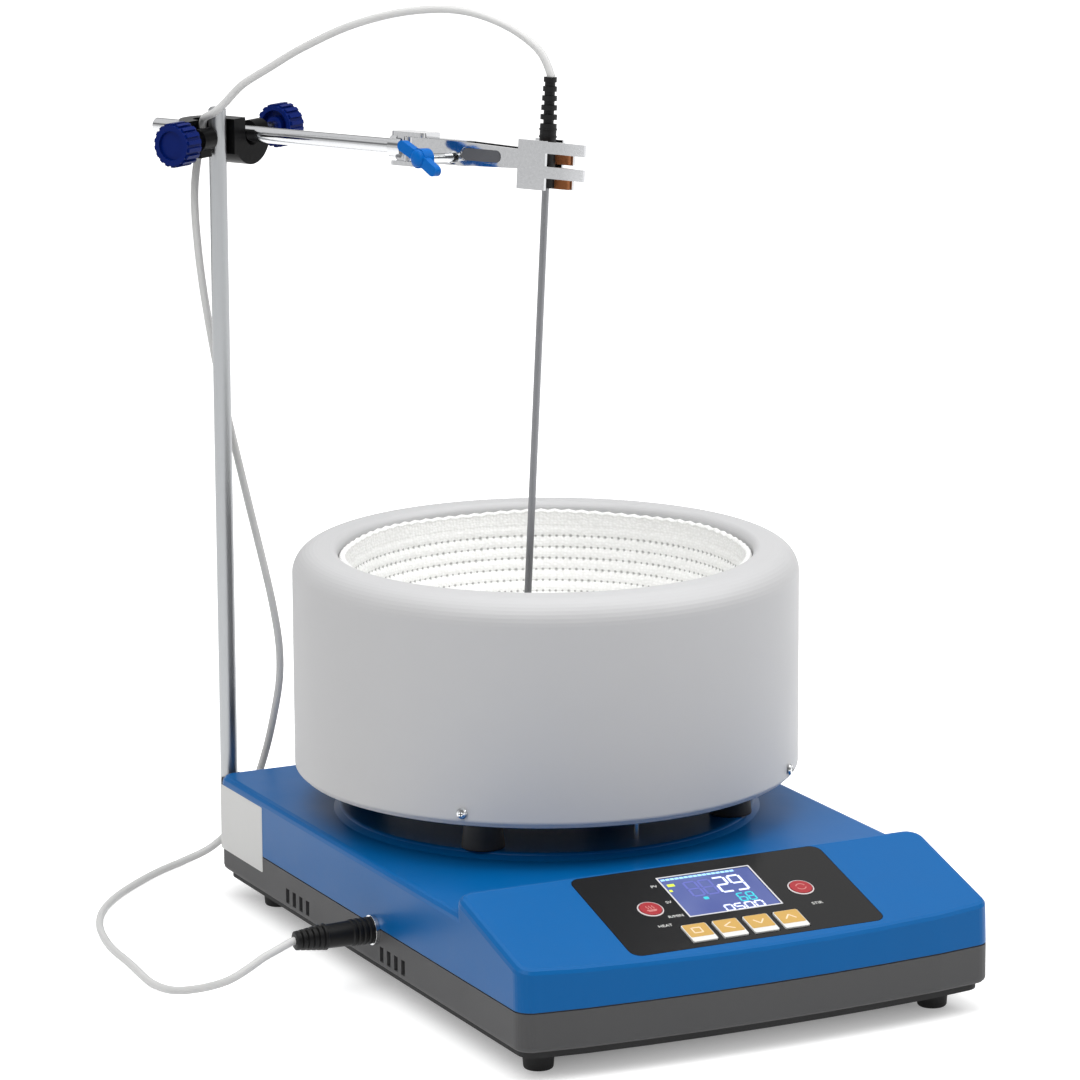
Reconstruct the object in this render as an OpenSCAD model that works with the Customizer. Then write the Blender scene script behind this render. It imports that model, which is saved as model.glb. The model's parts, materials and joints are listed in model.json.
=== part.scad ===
// Magnetic stirrer with a heating mantle, a support stand and a temperature probe.
// Millimetres, +Z up. The origin is on the bench, under the middle of the whole object.

/* [Housing] */
// Width of the housing, left to right
base_w = 280; // [250:1:340]
// Depth of the housing at its corners, front to back
base_d = 400; // [370:1:460]
// How far the middle of the front bows out
front_bow = 8; // [2:0.5:14]
// Plan radius of the housing's corners
corner_r = 10; // [8:0.5:14]
// Height of the pan's underside above the bench
pan_z = 14; // [10:0.5:20]
// Height of the seam between pan and cover
seam_z = 38.5; // [34:0.5:44]
// Height of the cover's flat top
top_z = 72; // [69:0.5:82]
// Wall thickness of pan and cover
wall = 3; // [2.6:0.1:3.6]
// Radius on the cover's top edges
cover_edge_r = 4; // [2:0.5:6]
// Radius on the pan's bottom edges
pan_edge_r = 3; // [1.5:0.5:5]
// Height of the step under the pan
pan_step_h = 2.5; // [1.5:0.5:4]
// How far the step under the pan is set in
pan_step_in = 8; // [5:0.5:12]
// Height and depth of the groove at the seam
seam_groove = 0.7; // [0.4:0.1:1]
// Width of a vent slot
vent_w = 4.6; // [3:0.2:6]
// Height of a vent slot
vent_h = 8.4; // [6:0.2:10]
// Spacing of the vent slots
vent_pitch = 9.2; // [8:0.2:12]
// Radius of the raised round plateau under the mantle
plateau_r = 117; // [100:1:122]
// Height of the plateau
plateau_h = 3.5; // [2:0.5:6]

/* [Console] */
// Plan depth of the slanted console at the corners
console_d = 81.4; // [80:0.2:92]
// Height of the console's back edge
console_back_z = 83; // [78:0.5:92]
// Height of the console's front edge
console_front_z = 60; // [57:0.5:64]
// Radius of the hollow at the foot of the console's back
console_fillet_r = 6; // [3:0.5:8]

/* [Control panel] */
// Width of the black panel plate
panel_w = 150; // [140:1:170]
// Length of the panel plate down the slope
panel_l = 79; // [76:0.5:80]
// Distance from the console's back edge to the plate
panel_from_back = 4.3; // [4:0.1:6]
// Thickness of the plate
panel_t = 1.6; // [1.2:0.1:2]
// Width of the land that carries the plate
panel_land = 5; // [3:0.5:6]
// Corner radius of the plate
panel_r = 6; // [3:0.5:8]
// Width of the display window
lcd_w = 55; // [45:1:60]
// Height of the display window down the slope
lcd_l = 40; // [34:1:42]
// Distance from the console's back edge to the middle of the display
lcd_from_back = 34.5; // [32:0.5:36]
// Width of a square key
key_w = 14.6; // [12:0.2:15.6]
// Length of a square key down the slope
key_l = 16.4; // [13:0.2:17]
// Spacing of the square keys
key_pitch = 18.2; // [17.4:0.1:20]
// Sideways place of the row of square keys
key_row_x = -3; // [-6:0.5:6]
// Distance from the console's back edge to the row of square keys
key_from_back = 70.6; // [69.5:0.1:72]
// Diameter of a round button
button_d = 12.4; // [10:0.2:14]
// Sideways distance of the round buttons from the middle
button_x = 45; // [42:0.5:56]
// Distance from the console's back edge to the round buttons
button_from_back = 42.5; // [38:0.5:50]
// How far keys and buttons stand out of the plate
key_proud = 0.8; // [0.6:0.1:1.4]
// Travel of keys and buttons
key_travel = 0.5; // [0.3:0.1:0.8]

/* [Heating mantle] */
// Outer diameter of the mantle
mantle_d = 283; // [264:1:300]
// Height of the mantle's shell
mantle_h = 124; // [116:1:140]
// Air gap between the housing's top and the mantle
mantle_gap = 25; // [18:0.5:34]
// Distance from the middle of the housing back to the mantle's axis
mantle_y = 54; // [46:1:62]
// Radius of the mantle's shoulder
shoulder_r = 14; // [10:1:18]
// Diameter of the opening in the shell
opening_d = 232; // [230:1:240]
// Radius of the rolled rim round the opening
rim_r = 4; // [3:0.5:6]
// Depth of the rim's inner lip
rim_drop = 12; // [8:0.5:15]
// Thickness of the shell's sheet
shell_t = 1.5; // [1:0.1:2]
// Width of the return lip at the shell's bottom
shell_lip = 8; // [6:0.5:12]
// Diameter of the round flask that the bowl fits
flask_d = 223; // [216:1:224]
// Thickness of the knitted lining
lining_t = 3.5; // [3:0.25:3.75]
// Stitched rows in the lining
lining_rows = 15; // [8:1:20]
// Depth of the grooves between the rows
row_depth = 0.8; // [0.3:0.1:1.2]
// Depth of the lining's edge below the mantle's top
lining_drop = 4.6; // [2:0.2:6]
// Turns of the heating wire
heater_turns = 7; // [4:1:8]
// Diameter of the insulated heating wire
heater_d = 2; // [1.5:0.1:2]
// Thickness of the mantle's bottom plate
mantle_plate_t = 2; // [1.5:0.5:3]
// Screws round the shell's lower edge
shell_screws = 4; // [3:1:8]

/* [Stirring drive] */
// Diameter of the motor
motor_d = 58; // [50:1:64]
// Height of the motor
motor_h = 26; // [20:0.5:27]
// Diameter of the motor's shaft
shaft_d = 6; // [5:0.5:8]
// Span of the magnet carrier
carrier_l = 96; // [80:1:110]
// Diameter of each drive magnet
magnet_d = 20; // [16:1:24]
// Height of each drive magnet
magnet_h = 7; // [5:0.5:8]

/* [Support stand] */
// Diameter of the upright rod
rod_d = 10; // [9:0.5:12]
// Distance from the housing's left side to the rod's axis
rod_in = 13; // [12:1:16]
// Distance from the housing's back face to the rod's axis
rod_back = 13; // [12.5:0.5:16]
// Height of the rod's top
rod_top_z = 456; // [450:1:500]
// Height of the arm's axis
arm_z = 439; // [436:1:440]
// Diameter of the arm
arm_d = 9; // [8:0.5:10]
// Direction of the arm in plan
arm_angle = -60; // [-64:1:-56]
// Distance along the arm from the rod to the probe
arm_reach = 210; // [200:1:220]
// Length of the arm's tail behind the rod
arm_tail = 60; // [40:1:70]
// Thickness of the boss head's middle web
web_t = 10.4; // [8:0.2:12]
// Width of each slot in the boss head
boss_slot = 13.3; // [13:0.1:15]
// Thickness of the boss head's outer walls
boss_wall = 10; // [9:0.5:12]
// Height of each of the boss head's hooks
boss_h = 20; // [18:0.5:24]
// Diameter of the clamp screws
screw_d = 6; // [5:0.5:7]
// Diameter of the clamp knobs over their teeth
knob_d = 25; // [22:0.5:30]
// Thickness of the clamp knobs
knob_t = 13; // [10:0.5:16]
// Teeth round each knob
knob_teeth = 18; // [12:1:24]
// Bare length of the rod's clamp screw outside the boss head
rod_screw_out = 12; // [8:0.5:16]
// Bare length of the arm's clamp screw outside the boss head
arm_screw_out = 14.5; // [12:0.5:24]

/* [Clamp and probe] */
// Lean of the clamp and probe about the arm
clamp_roll = 5; // [0:0.5:6]
// Distance from the probe to the jaws' pivots
pivot_y = 88; // [84:1:94]
// Distance from the pivots forward to the root of the wing nuts' studs
stud_from_pivot = 31.5; // [27:0.5:32]
// Lean of the studs back from square to the yoke
stud_lean = 10; // [0:1:12]
// Bare length of the near stud between the jaw and its nut
near_stud_out = 19.5; // [12:0.5:28]
// Bare length of the far stud between the jaw and its nut
far_stud_out = 3.6; // [3.4:0.1:8]
// Thickness of the jaw strips
jaw_t = 2.5; // [2:0.1:3]
// Width of the yoke between the jaws
yoke_w = 8.8; // [8:0.2:10]
// Height of the jaw strips at the pivots
strip_h = 13.4; // [12:0.2:14.4]
// Height of the jaw strips at the jaws
strip_tip_h = 10.4; // [8:0.2:12]
// Height of the jaws
jaw_h = 27; // [24:0.5:29]
// Length of the near jaw's prongs past the probe
near_prong_l = 32; // [22:1:34]
// Length of the far jaw's prongs past the probe
far_prong_l = 12; // [11:1:18]
// Thickness of the cork pads
cork_t = 2.5; // [2:0.1:3]
// Diameter of the stud through the yoke
stud_d = 5; // [4:0.5:5]
// Wing nut span, tip to tip
wing_span = 33; // [26:1:36]
// Diameter of the probe's steel sheath
probe_d = 4; // [3:0.5:6]
// Diameter of the probe's black boot
boot_d = 9.2; // [8.4:0.2:10]
// Length of the sheath below the arm's height
probe_l = 265; // [250:1:270]
// Length of the boot above the arm's height
boot_up = 45.5; // [45:0.5:46]
// Length of the boot below the arm's height
boot_down = 15; // [14:0.5:20]
// Ribs of the boot's strain relief
boot_ribs = 5; // [3:1:6]

/* [Sockets and cord] */
// Distance from the middle of the housing back to the probe socket
socket_y = -18; // [-19:0.5:-17]
// Height of the probe socket
socket_z = 36; // [35:0.5:37]
// Diameter of the socket's ring
socket_d = 16.5; // [15:0.5:18]
// Length of the probe's plug outside the socket
plug_l = 45; // [44.5:0.5:45.5]
// Diameter of the plug
plug_d = 15; // [13:0.5:16]
// Diameter of the probe's cord
cord_d = 4.5; // [4:0.5:5]
// Sideways place of the mains inlet
inlet_x = 70; // [60:1:90]
// Sideways place of the mains switch
switch_x = 20; // [0:1:30]

/* [Clearances] */
// Radial clearance of a shaft in its bore
fit = 0.05; // [0.02:0.01:0.09]
// Gap between pieces that move past each other
gap = 0.3; // [0.25:0.05:0.4]

/* [Hidden] */
$fn = 64;
eps = 0.01;

// Housing
half_w = base_w / 2;
half_d = base_d / 2;
console_y = -half_d + console_d;
tilt = atan2(console_back_z - console_front_z, console_d);
slope_l = console_d / cos(tilt);
bow_x = [-0.75, -0.5, -0.25, 0, 0.25, 0.5, 0.75];
bow_r = 6;
function bow(x) = front_bow * (1 - pow(x / half_w, 2));
plan_corners = [for (sx = [-1, 1]) [sx * (half_w - corner_r), half_d - corner_r, corner_r]];
front_corners = [for (sx = [-1, 1]) [sx * (half_w - corner_r), corner_r - half_d, corner_r]];
front_points = [for (f = bow_x) [f * half_w, bow_r - half_d - bow(f * half_w), bow_r]];
slab_front = [for (sx = [-1, 1]) [sx * (half_w - corner_r), console_y - 2 * corner_r, corner_r]];
console_back = [for (sx = [-1, 1]) [sx * (half_w - corner_r), console_y - corner_r, corner_r]];
panel_points = concat([for (sx = [-1, 1]) [sx * (half_w - corner_r), -corner_r, corner_r]],
    [for (sx = [-1, 1]) [sx * (half_w - corner_r), corner_r - slope_l, corner_r]],
    [for (f = bow_x) [f * half_w, bow_r - slope_l - bow(f * half_w) / cos(tilt), bow_r]]);
rim_z = pan_z + pan_step_h;
floor_z = rim_z + wall;
foot_in = 22;
foot_spots = [for (sx = [-1, 1], y = [26 - half_d, half_d - 36]) [sx * (half_w - foot_in), y]];
vent_centres = [86, -41];
vent_slots = 4;
foot_d = 18;
foot_recess_d = 9;
foot_recess_z = 5;
foot_screw_d = 4;

// Fasteners and boards
nut_d = 8;
nut_t = 3.2;
head_d = 7.6;
head_t = 2.2;
pcb_t = 1.6;

// Panel
panel_mid = panel_from_back + panel_l / 2;
board_depth = 13;
tact_h = 2.4;
tact_w = 6;
stem_d = 4;
key_columns = [-1.5, -0.5, 0.5, 1.5];
key_body = 4;
board_w = 130;
board_l = 68;
lcd_body_t = 6.5;

// Mantle
mantle_r = mantle_d / 2;
mantle_z = top_z + mantle_gap;
mantle_top = mantle_z + mantle_h;
opening_r = opening_d / 2;
plateau_z = top_z + plateau_h;
bowl_r = flask_d / 2 + 0.5;
bowl_z = mantle_top + 3;
lining_r = bowl_r + lining_t;
heater_gap = 0.7;
heater_r = lining_r + heater_gap + heater_d / 2;
cavity_r = heater_r + heater_d / 2 + 0.4;
plate_z = mantle_z + shell_t;
plate_top = plate_z + mantle_plate_t;
foot_flange_l = 42;
foot_ring_r = mantle_r - shell_lip - foot_flange_l / 2 - 4.5;
plate_bend = 3;
plate_rim_h = 12.5;

// Drive, stacked up from the pan's floor
motor_plate_t = 3;
motor_plate_w = motor_d * 1.8;
motor_plate_l = motor_d * 1.3;
motor_plate_hole_in = 8;
motor_top = floor_z + motor_plate_t + motor_h;
motor_collar_h = 2.5;
shaft_in = 13.7;
carrier_z = motor_top + 2 * motor_collar_h;
carrier_t = 5;

// Stand, in a frame on the rod with X away from the arm's screw side and Y along the arm's tail
rod_x = -half_w + rod_in;
rod_y = half_d + rod_back;
rod_r = rod_d / 2;
arm_r = arm_d / 2;
rod_foot_z = 33;
socket_top_z = 66;
bracket_floor = 4;
web_x0 = rod_r + gap;
web_x1 = web_x0 + web_t;
arm_x = web_x1 + gap + arm_r;
rod_wall_x = web_x0 - boss_slot - boss_wall;
arm_wall_x = web_x1 + boss_slot + boss_wall;
collar_d = 12.6;
knob_bore_l = 8;
rod_slot_deep = 14.5;
boss_back = 21.8;
arm_slot_deep = arm_r + 2.2;
boss_drop = 17.6;
rod_knob_x = rod_wall_x - rod_screw_out;
arm_knob_x = arm_wall_x + arm_screw_out;
n_dir = [cos(arm_angle + 90), sin(arm_angle + 90)];
tail_dir = [-n_dir[1], n_dir[0]];

// Clamp, in a frame on the probe with X across the jaws and Y back along the arm
stud_y = pivot_y - stud_from_pivot;
stud_z = -2.5;
yoke_front = stud_y - 6;
yoke_back = 97;
spigot_d = 5;
spigot_l = 17;
ear_t = 2.5;
ear_z = strip_h / 2 + gap;
strip_x = yoke_w / 2 + gap;
pivot_x = strip_x + jaw_t / 2;
pin_d = 3;
knuckle_r = 3;
grip_x = boot_d / 2 + gap;
jaw_x = grip_x + cork_t;
jaw_sheet = 2;
jaw_top = 0.41 * jaw_h;
jaw_front = -5;
jaw_back = 13;
window_y = 39;
window_l = 27;
window_deep = 0.8;
slot_h = stud_d + 2.4;
slot_l = slot_h + 1.4;
slot_y = stud_y + (strip_x + jaw_t) * tan(stud_lean);
level_h = jaw_h / 4;
stud_in = (strip_x + jaw_t) / cos(stud_lean);
nut_l = 7.4;
nut_r = 5.5;

// Origin: the middle of the box round everything but the cord
x_low = rod_x + (rod_knob_x - knob_t) * n_dir[0] - knob_d / 2 * n_dir[1];
x_high = max(mantle_r, half_w);
y_low = -half_d - front_bow;
y_high = rod_y + arm_x * n_dir[1] + arm_tail * tail_dir[1] + arm_r * n_dir[1];
origin = [-(x_low + x_high) / 2, -(y_low + y_high) / 2, 0];

// Route of the cord from the plug to the boot, about the middle of the housing
cord_route = [[-206, -20, 30], [-226, -15, 18], [-241, 14, 7], [-244, 48, 2.4], [-241, 86, 2.4],
    [-238, 126, 2.4], [-227, 168, 2.4], [-207, 203, 2.4], [-174, 237, 2.4], [-140, 262, 2.4],
    [-114, 270, 8], [-100, 259, 28],
    [-95, 243, 58], [-90, 234, 90], [-87, 229, 124], [-92, 227, 162], [-108, 226, 230], [-122, 225, 290],
    [-131, 224, 338], [-136, 223, 374], [-138, 222, 406], [-135, 222, 430], [-134, 219, 441],
    [-134.5, 216, 447.5], [-135, 211, 451], [-132, 205.5, 454], [-126.5, 201.5, 460], [-119, 195, 470],
    [-108, 183, 480], [-94, 165, 493],
    [-75, 140, 507], [-54, 113, 516], [-34, 87, 518], [-17, 65, 511], [-5, 50, 499]];
cord_side = 140;
cord_steps = 2;
cord_sides = 8;
cord_rest_z = 2.4;
cord_hole = 3;
cord_in = 2.8;

// Shared shapes and functions
function arc(c, r, a0, a1, n) =
    [for (i = [0:n]) c + r * [cos(a0 + (a1 - a0) * i / n), sin(a0 + (a1 - a0) * i / n)]];
function unit(v) = v / norm(v);
function square_to(u, t) = unit(u - (u * t) * t);
function tangents(p) =
    [for (i = [0:len(p) - 1]) unit(p[min(i + 1, len(p) - 1)] - p[max(i - 1, 0)])];
function normals(t, u) =
    [for (i = 0, v = square_to(u, t[0]); i < len(t); i = i + 1, v = i < len(t) ? square_to(v, t[i]) : v) v];
function between(a, b, c, d, t) = 0.5 * (2 * b + (c - a) * t + (2 * a - 5 * b + 4 * c - d) * t * t
    + (3 * b - a - 3 * c + d) * t * t * t);
function smooth(p, steps) = concat([for (i = [0:len(p) - 2], k = [0:steps - 1])
    between(p[max(i - 1, 0)], p[i], p[i + 1], p[min(i + 2, len(p) - 1)], k / steps)], [p[len(p) - 1]]);

// Round tube along points, one ring of corners at each
module tube(p, d, sides, start_up) {
    t = tangents(p);
    u = normals(t, start_up);
    rings = [for (i = [0:len(p) - 1], k = [0:sides - 1])
        p[i] + d / 2 * (cos(360 * k / sides) * u[i] + sin(360 * k / sides) * cross(t[i], u[i]))];
    last = (len(p) - 1) * sides;
    skin = [for (i = [0:len(p) - 2], k = [0:sides - 1], h = [0, 1])
        let (a = i * sides + k, b = i * sides + (k + 1) % sides)
        h == 0 ? [a, a + sides, b] : [b, a + sides, b + sides]];
    caps = concat([for (k = [1:sides - 2]) [0, k, k + 1]],
        [for (k = [1:sides - 2]) [last, last + k + 1, last + k]]);
    polyhedron(points = rings, faces = concat(skin, caps), convexity = 6);
}

module placed() translate(origin) children();
module on_panel() translate([0, console_y, console_back_z]) rotate([tilt, 0, 0]) children();
module at_mantle() translate([0, mantle_y, 0]) children();
module at_boss() translate([rod_x, rod_y, arm_z]) rotate([0, 0, arm_angle + 90]) children();
module at_clamp() at_boss() translate([arm_x, -arm_reach, 0]) rotate([0, clamp_roll, 0]) children();
module along_x() rotate([0, 90, 0]) children();
module along_y() rotate([-90, 0, 0]) children();

// Flat outline with round corners, centred
module round_rect(w, l, r) {
    square([w - 2 * r, l], center = true);
    square([w, l - 2 * r], center = true);
    for (sx = [-1, 1], sy = [-1, 1]) translate([sx * (w / 2 - r), sy * (l / 2 - r)]) circle(r = r);
}

// Uprights whose hull has a rounded top edge
module posts(spots, z0, z1, inset, edge) {
    e = max(edge - inset, 0.5);
    for (p = spots, a = [0, 30, 60, 90]) translate([p[0], p[1], z0])
        cylinder(r = p[2] - inset - e * (1 - cos(a)), h = z1 - z0 - inset - e * (1 - sin(a)), $fn = 32);
}

// Slanted console between its footprint at the seam and the panel plane
module console_body(inset, drop) {
    e = max(cover_edge_r - inset, 0.5);
    for (p = concat(console_back, front_corners, front_points))
        translate([p[0], p[1], seam_z - drop]) cylinder(r = p[2] - inset, h = 1, $fn = 32);
    on_panel() for (p = panel_points, a = [0, 30, 60, 90])
        translate([p[0], p[1], -inset - e * (1 - sin(a)) - eps])
            cylinder(r = p[2] - inset - e * (1 - cos(a)), h = eps, $fn = 32);
}

// Housing
module top_cover() {
    slab = concat(plan_corners, slab_front);
    color("#1f6fc4") placed() difference() {
        union() {
            hull() posts(slab, seam_z, top_z, 0, cover_edge_r);
            hull() console_body(0, 0);
            at_mantle() rotate_extrude($fn = 96) polygon(concat([[0, top_z - wall / 2],
                [plateau_r + 3, top_z - wall / 2], [plateau_r + 3, top_z]],
                arc([plateau_r - 2, plateau_z - 2], 2, 20, 90, 4), [[0, plateau_z]]));
            translate([0, console_y, top_z]) rotate([90, 0, 90])
                linear_extrude(base_w - 2 * corner_r, center = true) difference() {
                    translate([-1, -1]) square(console_fillet_r + 1);
                    translate([console_fillet_r, console_fillet_r]) circle(r = console_fillet_r);
                }
        }
        hull() posts(slab, seam_z - 1, top_z, wall, cover_edge_r);
        hull() console_body(wall, 1);
        on_panel() translate([0, -panel_mid, -panel_t]) linear_extrude(panel_t + 1)
            round_rect(panel_w + 2 * gap, panel_l + 2 * gap, panel_r + gap);
        on_panel() translate([0, -panel_mid, -3 * wall]) linear_extrude(4 * wall)
            round_rect(panel_w - 2 * panel_land, panel_l - 2 * panel_land, panel_r);
        on_panel() key_holes();
        socket_hole();
        translate([inlet_x, half_d, inlet_z])
            cube([inlet_w + 2 * gap, 4 * wall, inlet_h + 2 * gap], center = true);
        translate([switch_x, half_d, inlet_z])
            cube([switch_w + 2 * gap, 4 * wall, switch_h + 2 * gap], center = true);
        for (x = bracket_screw_x) translate([x, half_d - 2 * wall, bracket_mid_z]) along_y()
            cylinder(d = bracket_hole_d, h = 4 * wall);
    }
}

module bottom_pan() {
    outline = concat(plan_corners, front_corners, front_points);
    step = [for (p = outline) [p[0] - sign(p[0]) * pan_step_in, p[1] - sign(p[1]) * pan_step_in, p[2]]];
    color("#4b4b4c") placed() difference() {
        translate([0, 0, seam_z]) mirror([0, 0, 1]) difference() {
            union() {
                hull() posts(outline, seam_groove, seam_z - rim_z, 0, pan_edge_r);
                hull() posts(outline, 0, seam_z - rim_z, seam_groove, pan_edge_r);
                hull() posts(step, 0, seam_z - pan_z, 0, 1);
            }
            hull() posts(outline, -1, seam_z - rim_z, wall, pan_edge_r);
        }
        for (sx = [-1, 1], yc = vent_centres, i = [0:vent_slots - 1])
            translate([sx * half_w, yc + (i - (vent_slots - 1) / 2) * vent_pitch, floor_z + 0.5 + vent_h / 2])
                cube([4 * wall, vent_w, vent_h], center = true);
        socket_hole();
        for (p = foot_spots) translate([p[0], p[1], pan_z - 1])
            cylinder(d = foot_screw_d + 4 * fit, h = floor_z - pan_z + 2);
    }
}

module rubber_feet() color("#1b1b1c") placed() for (p = foot_spots) translate([p[0], p[1], 0]) difference() {
    rotate_extrude() polygon(concat([[0, 0]], arc([foot_d / 2 - 2.5, 1.5], 1.5, -90, 0, 4),
        [[foot_d / 2, pan_z], [0, pan_z]]));
    translate([0, 0, -1]) cylinder(d = foot_recess_d, h = foot_recess_z + 1);
    cylinder(d = foot_screw_d + 4 * fit, h = pan_z + 1);
}

module foot_screws() color("#b9bcc0") placed() for (p = foot_spots) translate([p[0], p[1], foot_recess_z]) {
    translate([0, 0, -head_t]) cylinder(d = head_d, h = head_t);
    cylinder(d = foot_screw_d, h = floor_z + 2 - foot_recess_z);
    translate([0, 0, floor_z - foot_recess_z]) difference() {
        cylinder(d = nut_d, h = nut_t, $fn = 6);
        translate([0, 0, -1]) cylinder(d = foot_screw_d - 1, h = 2);
    }
}

// Control panel
function key_x(i) = key_row_x + key_columns[i] * key_pitch;
module key_holes() for (i = [0:3]) translate([key_x(i), -key_from_back, 0])
    cube([key_w + 2 * gap, key_l + 2 * gap, 4 * wall], center = true);
module control_panel() color("#17181a") placed() on_panel() difference() {
    union() {
        translate([0, -panel_mid, -panel_t]) linear_extrude(panel_t) round_rect(panel_w, panel_l, panel_r);
        for (sx = [-1, 1], s = [panel_mid - 26, panel_mid + 26])
            translate([sx * 60, -s, -board_depth]) cylinder(d = 6, h = board_depth - panel_t + eps);
    }
    translate([0, -lcd_from_back, 0]) cube([lcd_w, lcd_l, 4 * panel_t], center = true);
    key_holes();
    for (sx = [-1, 1]) translate([sx * button_x, -button_from_back, -2 * panel_t])
        cylinder(d = button_d + 2 * gap, h = 4 * panel_t);
}

module lcd_module() color("#4d5fb8") placed() on_panel() translate([0, -lcd_from_back, 0]) {
    translate([0, 0, -panel_t / 2 - 0.2])
        cube([lcd_w - 2 * gap, lcd_l - 2 * gap, panel_t - 0.4], center = true);
    translate([0, 0, -panel_t - lcd_body_t / 2]) cube([lcd_w + 6, lcd_l + 5, lcd_body_t], center = true);
}

module control_board() color("#2c6b3f") placed() on_panel() {
    translate([0, -panel_mid, -board_depth - pcb_t / 2]) cube([board_w, board_l, pcb_t], center = true);
    for (i = [0:3]) translate([key_x(i), -key_from_back, -board_depth + tact_h / 2])
        cube([tact_w, tact_w, tact_h], center = true);
    for (sx = [-1, 1]) translate([sx * button_x, -button_from_back, -board_depth + tact_h / 2])
        cube([tact_w, tact_w, tact_h], center = true);
    translate([0, -panel_mid - 2, -board_depth + 1.2]) cube([34, 22, 2.4], center = true);
    for (x = [-45, 45]) translate([x, -panel_mid + 22, -board_depth - 5.6]) cube([16, 8, 8], center = true);
}

stem_l = board_depth - tact_h - gap - key_travel - key_body;
module square_key(i) on_panel() translate([key_x(i), -key_from_back, 0]) {
    translate([0, 0, -key_body]) linear_extrude(key_body + key_proud) round_rect(key_w, key_l, 1.2);
    translate([0, 0, -key_body - stem_l]) cylinder(d = stem_d, h = stem_l + eps);
}
module round_button(sx) on_panel() translate([sx * button_x, -button_from_back, 0]) {
    translate([0, 0, -key_body]) cylinder(d = button_d, h = key_body + key_proud);
    translate([0, 0, -key_body - stem_l]) cylinder(d = stem_d, h = stem_l + eps);
}
module key_set() color("#f2b632") placed() square_key(0);
module key_left() color("#f2b632") placed() square_key(1);
module key_down() color("#f2b632") placed() square_key(2);
module key_up() color("#f2b632") placed() square_key(3);
module heat_button() color("#d8232f") placed() round_button(-1);
module stir_button() color("#d8232f") placed() round_button(1);

// Probe socket in the left side
socket_barrel_d = 12;
socket_bore_d = 8.4;
socket_flange_t = 2.4;
module socket_hole() translate([-half_w - wall, socket_y, socket_z]) along_x()
    cylinder(d = socket_barrel_d + 4 * fit, h = 4 * wall);
module probe_socket() color("#d5d7d9") placed() translate([-half_w, socket_y, socket_z]) difference() {
    union() {
        translate([-socket_flange_t, 0, 0]) along_x() cylinder(d = socket_d, h = socket_flange_t);
        translate([-eps, 0, 0]) along_x() cylinder(d = socket_barrel_d, h = 18);
        translate([wall, 0, 0]) along_x() cylinder(d = socket_d, h = 2.5, $fn = 6);
    }
    translate([-3, 0, 0]) along_x() cylinder(d = socket_bore_d, h = 13);
}

// Mains inlet and switch in the back
inlet_z = (seam_z + top_z) / 2;
inlet_w = 27;
inlet_h = 20;
switch_w = 18.6;
switch_h = 16.4;
pin_depth = 15;
module mains_inlet() color("#202124") placed() translate([inlet_x, half_d, inlet_z]) difference() {
    union() {
        translate([0, 1.25, 0]) cube([inlet_w + 5, 2.5, inlet_h + 5], center = true);
        translate([0, 1 - 12, 0]) cube([inlet_w, 24, inlet_h], center = true);
    }
    translate([0, -7, 0]) cube([24.2, 20, 16.4], center = true);
}
module inlet_pins() color("#c9ccd0") placed() translate([inlet_x, half_d, inlet_z])
    for (p = [[-7, -2], [7, -2], [0, 2]]) translate([p[0], -17 + pin_depth / 2, p[1]])
        cube([2, pin_depth, 4], center = true);

rocker_axle = 4;
module switch_frame() color("#202124") placed() translate([switch_x, half_d, inlet_z]) difference() {
    union() {
        translate([0, 1, 0]) cube([switch_w + 4, 2, switch_h + 4], center = true);
        translate([0, -7, 0]) cube([switch_w, 16, switch_h], center = true);
    }
    translate([0, -2.5, 0]) cube([14 + 2 * gap, 16, 13.2], center = true);
    translate([-12, -rocker_axle, 0]) along_x() cylinder(d = 2 + 2 * fit, h = 24);
}
module mains_rocker() color("#c8202b") placed() translate([switch_x, half_d - rocker_axle, inlet_z]) {
    translate([-7, 0, 0]) rotate([90, 0, 90]) linear_extrude(14)
        polygon([[-3, -3], [4.4, -5], [5, 0], [6.6, 4.6], [-3, 3]]);
    translate([-8.6, 0, 0]) along_x() cylinder(d = 2, h = 17.2);
}

// Rod socket on the back: a split sleeve, open towards the housing's corner, on a flange
bracket_mid_z = (rod_foot_z + socket_top_z) / 2;
bracket_wall = 4.5;
bracket_flange_l = 52;
bracket_flange_t = 5;
bracket_flange_h = 24;
bracket_screw_x = [rod_x + 24, rod_x + 40];
bracket_hole_d = 4.2;
sleeve_split_in = 0.9;
sleeve_split_turn = 154;
set_screw_d = 5;
set_head_l = 5;
module sleeve_outline() difference() {
    union() {
        circle(r = rod_r + bracket_wall);
        translate([-rod_r, -rod_back]) square([2 * rod_r + bracket_wall, rod_back]);
    }
    rotate(sleeve_split_turn) translate([rod_r - sleeve_split_in, -3 * rod_d]) square([3 * rod_d, 6 * rod_d]);
}
module rod_bracket() color("#3a3b3d") placed() difference() {
    union() {
        translate([rod_x, rod_y, rod_foot_z - bracket_floor])
            linear_extrude(socket_top_z - rod_foot_z + bracket_floor) sleeve_outline();
        translate([rod_x, half_d, bracket_mid_z - bracket_flange_h / 2])
            cube([bracket_flange_l, bracket_flange_t, bracket_flange_h]);
    }
    translate([rod_x, rod_y, rod_foot_z]) cylinder(d = rod_d + 2 * fit, h = socket_top_z);
    translate([rod_x, rod_y, bracket_mid_z]) along_x()
        cylinder(d = set_screw_d + 2 * fit, h = rod_d + bracket_wall);
    for (x = bracket_screw_x) translate([x, half_d - 1, bracket_mid_z]) along_y()
        cylinder(d = bracket_hole_d, h = bracket_flange_t + 3);
}
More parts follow.
